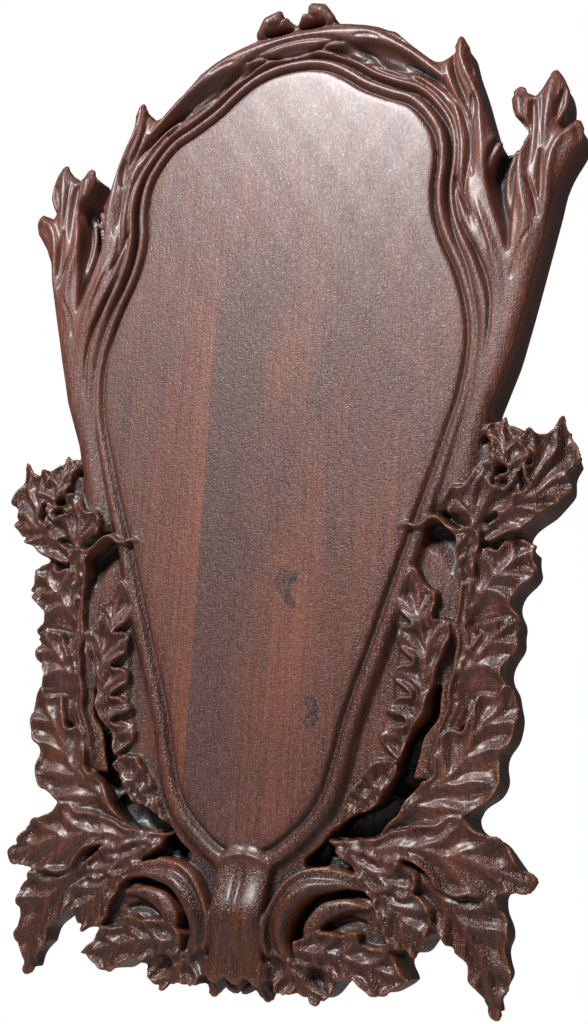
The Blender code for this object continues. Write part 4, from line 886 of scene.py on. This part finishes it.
def surface_marks(mesh, heights, step, unit):
    """Store on each point how carved the wood is, how much painted shade it gets and how exposed it is
    there. The blurs' reaches and the depths are in drawing units."""
    count = len(mesh.vertices)
    places = np.empty(count * 3, np.float32)
    mesh.vertices.foreach_get("co", places)
    places = places.reshape(-1, 3)
    rows = (places[:, 2] / unit + DRAWN_HEIGHT / 2 + MARGIN) / step
    columns = places[:, 0] / unit / step + (heights.shape[1] - 1) / 2
    solid = np.maximum(heights, DEEPEST - 2)
    near = blurred(solid, round(1.3 / step))
    far = blurred(solid, round(6 / step))
    outside = blurred((heights < BACK).astype(float), round(8 / step))
    exposed = solid - near - 0.25
    # Painted shade in the creases, where the surface dips below its near surroundings; weaker on the frame.
    crease_shade = np.clip((near - solid - 0.05) / 1.1, 0, 1)
    busy = blurred(np.abs(solid - blurred(solid, round(3 / step))), round(5 / step))
    levels = (np.arange(len(heights)) * step - MARGIN)[:, None]
    carved = np.clip((busy - 0.12) / 0.8, 0, 1) * np.interp(levels, [300, 340], [1, 0])
    carved = np.maximum(carved, np.interp(levels, [66, 74], [1, 0]))
    crease_shade *= np.interp(levels, [300, 340], [0.75, 0.45])
    far, outside, exposed, crease_shade, carved = (read_grid(grid, rows, columns) for grid in
                                              (far, outside, exposed, crease_shade, carved))
    height = BACK - places[:, 1] / unit
    # Painted shade: darker where a point lies below the wood around it, in creases and low on deep walls,
    # and less near the outer edges.
    painted_shade_amount = np.clip((far - height - 1) / 7, 0, 1) + crease_shade + np.clip(-height - 6, 0, 12) / 16
    painted_shade_amount *= np.clip(1.1 - 6 * outside, 0.15, 1)
    front = np.where(places[:, 1] < -1e-4, 1.0, 0.0)
    for name, values in (("painted_shade_and_knot_dark", painted_shade_amount), ("wear", exposed), ("carved", carved)):
        values = np.clip(values, 0, 1) * front
        attribute = mesh.attributes.new(name, "FLOAT", "POINT")
        attribute.data.foreach_set("value", values.astype(np.float32))


def keep_in_box(mesh):
    """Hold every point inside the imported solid's box."""
    places = np.empty(len(mesh.vertices) * 3, np.float32)
    mesh.vertices.foreach_get("co", places)
    places = np.clip(places.reshape(-1, 3), CAD_BOX[0], CAD_BOX[1])
    mesh.vertices.foreach_set("co", places.ravel().astype(np.float32))
    mesh.update()


class PlaqueSizes(bpy.types.PropertyGroup):
    """Sizes of the carved board."""

    height: FloatProperty(name="Height", description="Height from the lowest leaf to the top bud",
                          default=0.600, min=0.1, unit="LENGTH", subtype="DISTANCE")
    panel_thickness: FloatProperty(name="Panel Thickness", description="Board's thickness at the panel",
                                   default=0.0235, min=0.01, unit="LENGTH", subtype="DISTANCE")
    grid_step: FloatProperty(name="Grid Step", description="Finest cut of the carving",
                             default=0.0006, min=0.0004, unit="LENGTH", subtype="DISTANCE")
    triangles: IntProperty(name="Triangles", description="Triangles of the finished surface",
                           default=190000, min=10000)
    mark_depth: FloatProperty(name="Mark Depth", description="Depth of the knife's marks",
                              default=0.00035, min=0, unit="LENGTH", subtype="DISTANCE")
    marks_per_metre: FloatProperty(name="Marks per Metre", description="How close the knife's marks lie",
                                   default=160.0, min=1)


class WoodFinish(bpy.types.PropertyGroup):
    """Colours and gloss of the stained wood."""

    stain_dark: FloatVectorProperty(name="Dark Grain", description="Stain in the dark streaks",
                                    default=(0.080, 0.018, 0.010), subtype="COLOR")
    stain_light: FloatVectorProperty(name="Light Grain", description="Stain in the light streaks",
                                     default=(0.182, 0.047, 0.023), subtype="COLOR")
    stain_grey: FloatVectorProperty(name="Grey Cloud", description="Stain where the wood took it darker",
                                    default=(0.062, 0.024, 0.021), subtype="COLOR")
    stain_amber: FloatVectorProperty(name="Amber Grain", description="Stain beside glue line and knots",
                                     default=(0.230, 0.060, 0.024), subtype="COLOR")
    carved: FloatVectorProperty(name="Carved Wood", description="Stain that the cut fibres took up",
                                default=(0.034, 0.0078, 0.0028), subtype="COLOR")
    fibre: FloatVectorProperty(name="Carved Fibres", description="Warm streaks in the carved wood",
                               default=(0.105, 0.026, 0.0070), subtype="COLOR")
    pore_light: FloatVectorProperty(name="Pores", description="Colour of the pale specks between pores",
                                    default=(0.20, 0.105, 0.075), subtype="COLOR")
    worn: FloatVectorProperty(name="Worn Edge", description="Colour where the stain is rubbed off",
                              default=(0.26, 0.085, 0.035), subtype="COLOR")
    # Painted shade: the near-black colour laid into the cuts, creases and deep walls; the knot rings also
    # use it as their own dark.
    painted_shade_and_knot_dark: FloatVectorProperty(name="Recess", description="Colour in the deep cuts",
                                default=(0.007, 0.003, 0.002), subtype="COLOR")
    roughness: FloatProperty(name="Roughness", description="Roughness of the varnished surface",
                             default=0.43, min=0, max=1, subtype="FACTOR")
    varnish: FloatProperty(name="Varnish", description="Strength of the varnish coat",
                           default=0.30, min=0, max=1, subtype="FACTOR")
    streaks_per_metre: FloatProperty(name="Streaks per Metre", description="How fine the grain is",
                                     default=420.0, min=1)
    pores_per_metre: FloatProperty(name="Pores per Metre", description="How fine the pores are",
                                   default=1500.0, min=1)


class StudioSettings(bpy.types.PropertyGroup):
    """The floor, the lights and the camera."""

    floor_colour: FloatVectorProperty(name="Floor Colour", description="Colour of the plain floor",
                                      default=(0.60, 0.60, 0.59), subtype="COLOR")
    floor_height: FloatProperty(name="Floor Height", description="Height of the floor",
                                default=-1.20, unit="LENGTH", subtype="DISTANCE")
    sky: FloatProperty(name="Sky Light", description="Light from the pale surroundings", default=0.10)
    key_power: FloatProperty(name="Key Power", description="Power of the large light", default=126.0)
    back_power: FloatProperty(name="Back Power", description="Power of the light behind", default=12.0)
    lens: FloatProperty(name="Lens", description="Focal length of the camera", default=52.73, unit="CAMERA")
    camera_place: FloatVectorProperty(name="Camera Place", description="Where the camera stands",
                                      default=(0.4102, -0.7694, -0.2330), subtype="TRANSLATION")
    camera_aim: FloatVectorProperty(name="Camera Aim", description="The point the camera looks at",
                                    default=(0.0196, -0.0235, -0.0316), subtype="TRANSLATION")
    camera_roll: FloatProperty(name="Camera Roll", description="Turn of the camera about its line of sight",
                               default=0.05656, subtype="ANGLE", unit="ROTATION")


class PLAQUE_OT_carve(bpy.types.Operator):
    """Carve the plaque and stain it"""

    bl_idname = "plaque.carve"
    bl_label = "Carved Plaque"

    def execute(self, context):
        sizes = context.scene.plaque_sizes
        unit = sizes.height / DRAWN_HEIGHT
        step = sizes.grid_step / unit
        relief = carve(step)
        scrape_panel(relief)
        heights = soften(np.hstack([relief.h[:, :0:-1], relief.h]), 3)
        mesh = raised_mesh(heights, step, unit, sizes.panel_thickness)
        close_at_back(mesh)
        draw_walls_in(mesh, heights, step, unit)
        plaque = bpy.data.objects.new("plaque", mesh)
        context.scene.collection.objects.link(plaque)
        fewer = plaque.modifiers.new("fewer faces", "DECIMATE")
        fewer.ratio = sizes.triangles / len(mesh.polygons)
        evaluated_copy(plaque, fewer)
        surface_marks(plaque.data, heights, step, unit)
        wood = make_wood(context.scene.plaque_finish)
        marks = plaque.modifiers.new("knife marks", "NODES")
        marks.node_group = tool_mark_tree(sizes, wood)
        for item in marks.node_group.interface.items_tree:
            if item.name == "Wood":
                marks[item.identifier] = wood
        evaluated_copy(plaque, marks)
        plaque.data.shade_smooth()
        plaque.data.set_sharp_from_angle(angle=1.2)
        keep_in_box(plaque.data)
        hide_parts(NODE)
        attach(plaque, "root")
        return {"FINISHED"}


class PLAQUE_OT_studio(bpy.types.Operator):
    """Set up the floor, the lights and the camera"""

    bl_idname = "plaque.studio"
    bl_label = "Studio"

    def execute(self, context):
        studio = context.scene.plaque_studio
        add_floor(studio)
        add_lights(studio)
        add_camera(studio)
        return {"FINISHED"}


def add_floor(studio):
    """A plain pale floor."""
    bpy.ops.mesh.primitive_plane_add(size=12, location=(0, 0, studio.floor_height))
    floor = bpy.context.object
    floor.name = "floor"
    paint = bpy.data.materials.new("plain pale floor")
    paint.use_nodes = True
    shader = paint.node_tree.nodes["Principled BSDF"]
    shader.inputs["Base Color"].default_value = (*studio.floor_colour, 1)
    shader.inputs["Roughness"].default_value = 0.8
    floor.data.materials.append(paint)


def add_light(name, place, aim, size, power):
    """A square soft light aimed at a point."""
    data = bpy.data.lights.new(name, "AREA")
    data.shape = "RECTANGLE"
    data.size, data.size_y = size
    data.energy = power
    light = bpy.data.objects.new(name, data)
    light.location = place
    light.rotation_mode = "QUATERNION"
    light.rotation_quaternion = (Vector(aim) - Vector(place)).to_track_quat("-Z", "Y")
    bpy.context.scene.collection.objects.link(light)


def add_lights(studio):
    """A white surround that sheds little light, and a large soft light up to the left in front."""
    world = bpy.data.worlds.new("pale surround")
    bpy.context.scene.world = world
    world.use_nodes = True
    nodes = Nodes(world.node_tree)
    seen = nodes.add("ShaderNodeLightPath").outputs["Is Camera Ray"]
    background = world.node_tree.nodes["Background"]
    background.inputs["Color"].default_value = (1, 1, 1, 1)
    world.node_tree.links.new(nodes.spread(seen, 0, 1, studio.sky, 1), background.inputs["Strength"])
    add_light("key light", (-0.92, -2.15, 1.85), (0, 0, 0.05), (0.8, 0.6), studio.key_power)
    add_light("back light", (-0.8, 1.3, 0.7), (0, 0, 0), (0.8, 0.8), studio.back_power)


def add_camera(studio):
    """The camera at the photograph's angle."""
    data = bpy.data.cameras.new("camera")
    data.lens = studio.lens
    camera = bpy.data.objects.new("camera", data)
    sight = Vector(studio.camera_aim) - Vector(studio.camera_place)
    camera.location = studio.camera_place
    camera.rotation_mode = "QUATERNION"
    roll = Quaternion((0, 0, 1), studio.camera_roll)
    camera.rotation_quaternion = sight.to_track_quat("-Z", "Y") @ roll
    bpy.context.scene.collection.objects.link(camera)
    bpy.context.scene.camera = camera
    bpy.context.scene.view_settings.view_transform = "Standard"


class PLAQUE_PT_panel(bpy.types.Panel):
    """The plaque's sizes, finish and studio"""

    bl_label = "Plaque"
    bl_idname = "PLAQUE_PT_panel"
    bl_space_type = "VIEW_3D"
    bl_region_type = "UI"
    bl_category = "Plaque"

    def draw(self, context):
        scene = context.scene
        groups = ((scene.plaque_sizes, "plaque.carve"), (scene.plaque_finish, None),
                  (scene.plaque_studio, "plaque.studio"))
        for group, operator in groups:
            box = self.layout.box()
            for name in group.__annotations__:
                box.prop(group, name)
            if operator:
                box.operator(operator)


CLASSES = (PlaqueSizes, WoodFinish, StudioSettings, PLAQUE_OT_carve, PLAQUE_OT_studio, PLAQUE_PT_panel)


def register():
    for kind in CLASSES:
        bpy.utils.register_class(kind)
    bpy.types.Scene.plaque_sizes = PointerProperty(type=PlaqueSizes)
    bpy.types.Scene.plaque_finish = PointerProperty(type=WoodFinish)
    bpy.types.Scene.plaque_studio = PointerProperty(type=StudioSettings)


def unregister():
    del bpy.types.Scene.plaque_studio
    del bpy.types.Scene.plaque_finish
    del bpy.types.Scene.plaque_sizes
    for kind in reversed(CLASSES):
        bpy.utils.unregister_class(kind)


def main():
    register()
    bpy.ops.plaque.carve()
    bpy.ops.plaque.studio()


if __name__ == "__main__":
    main()
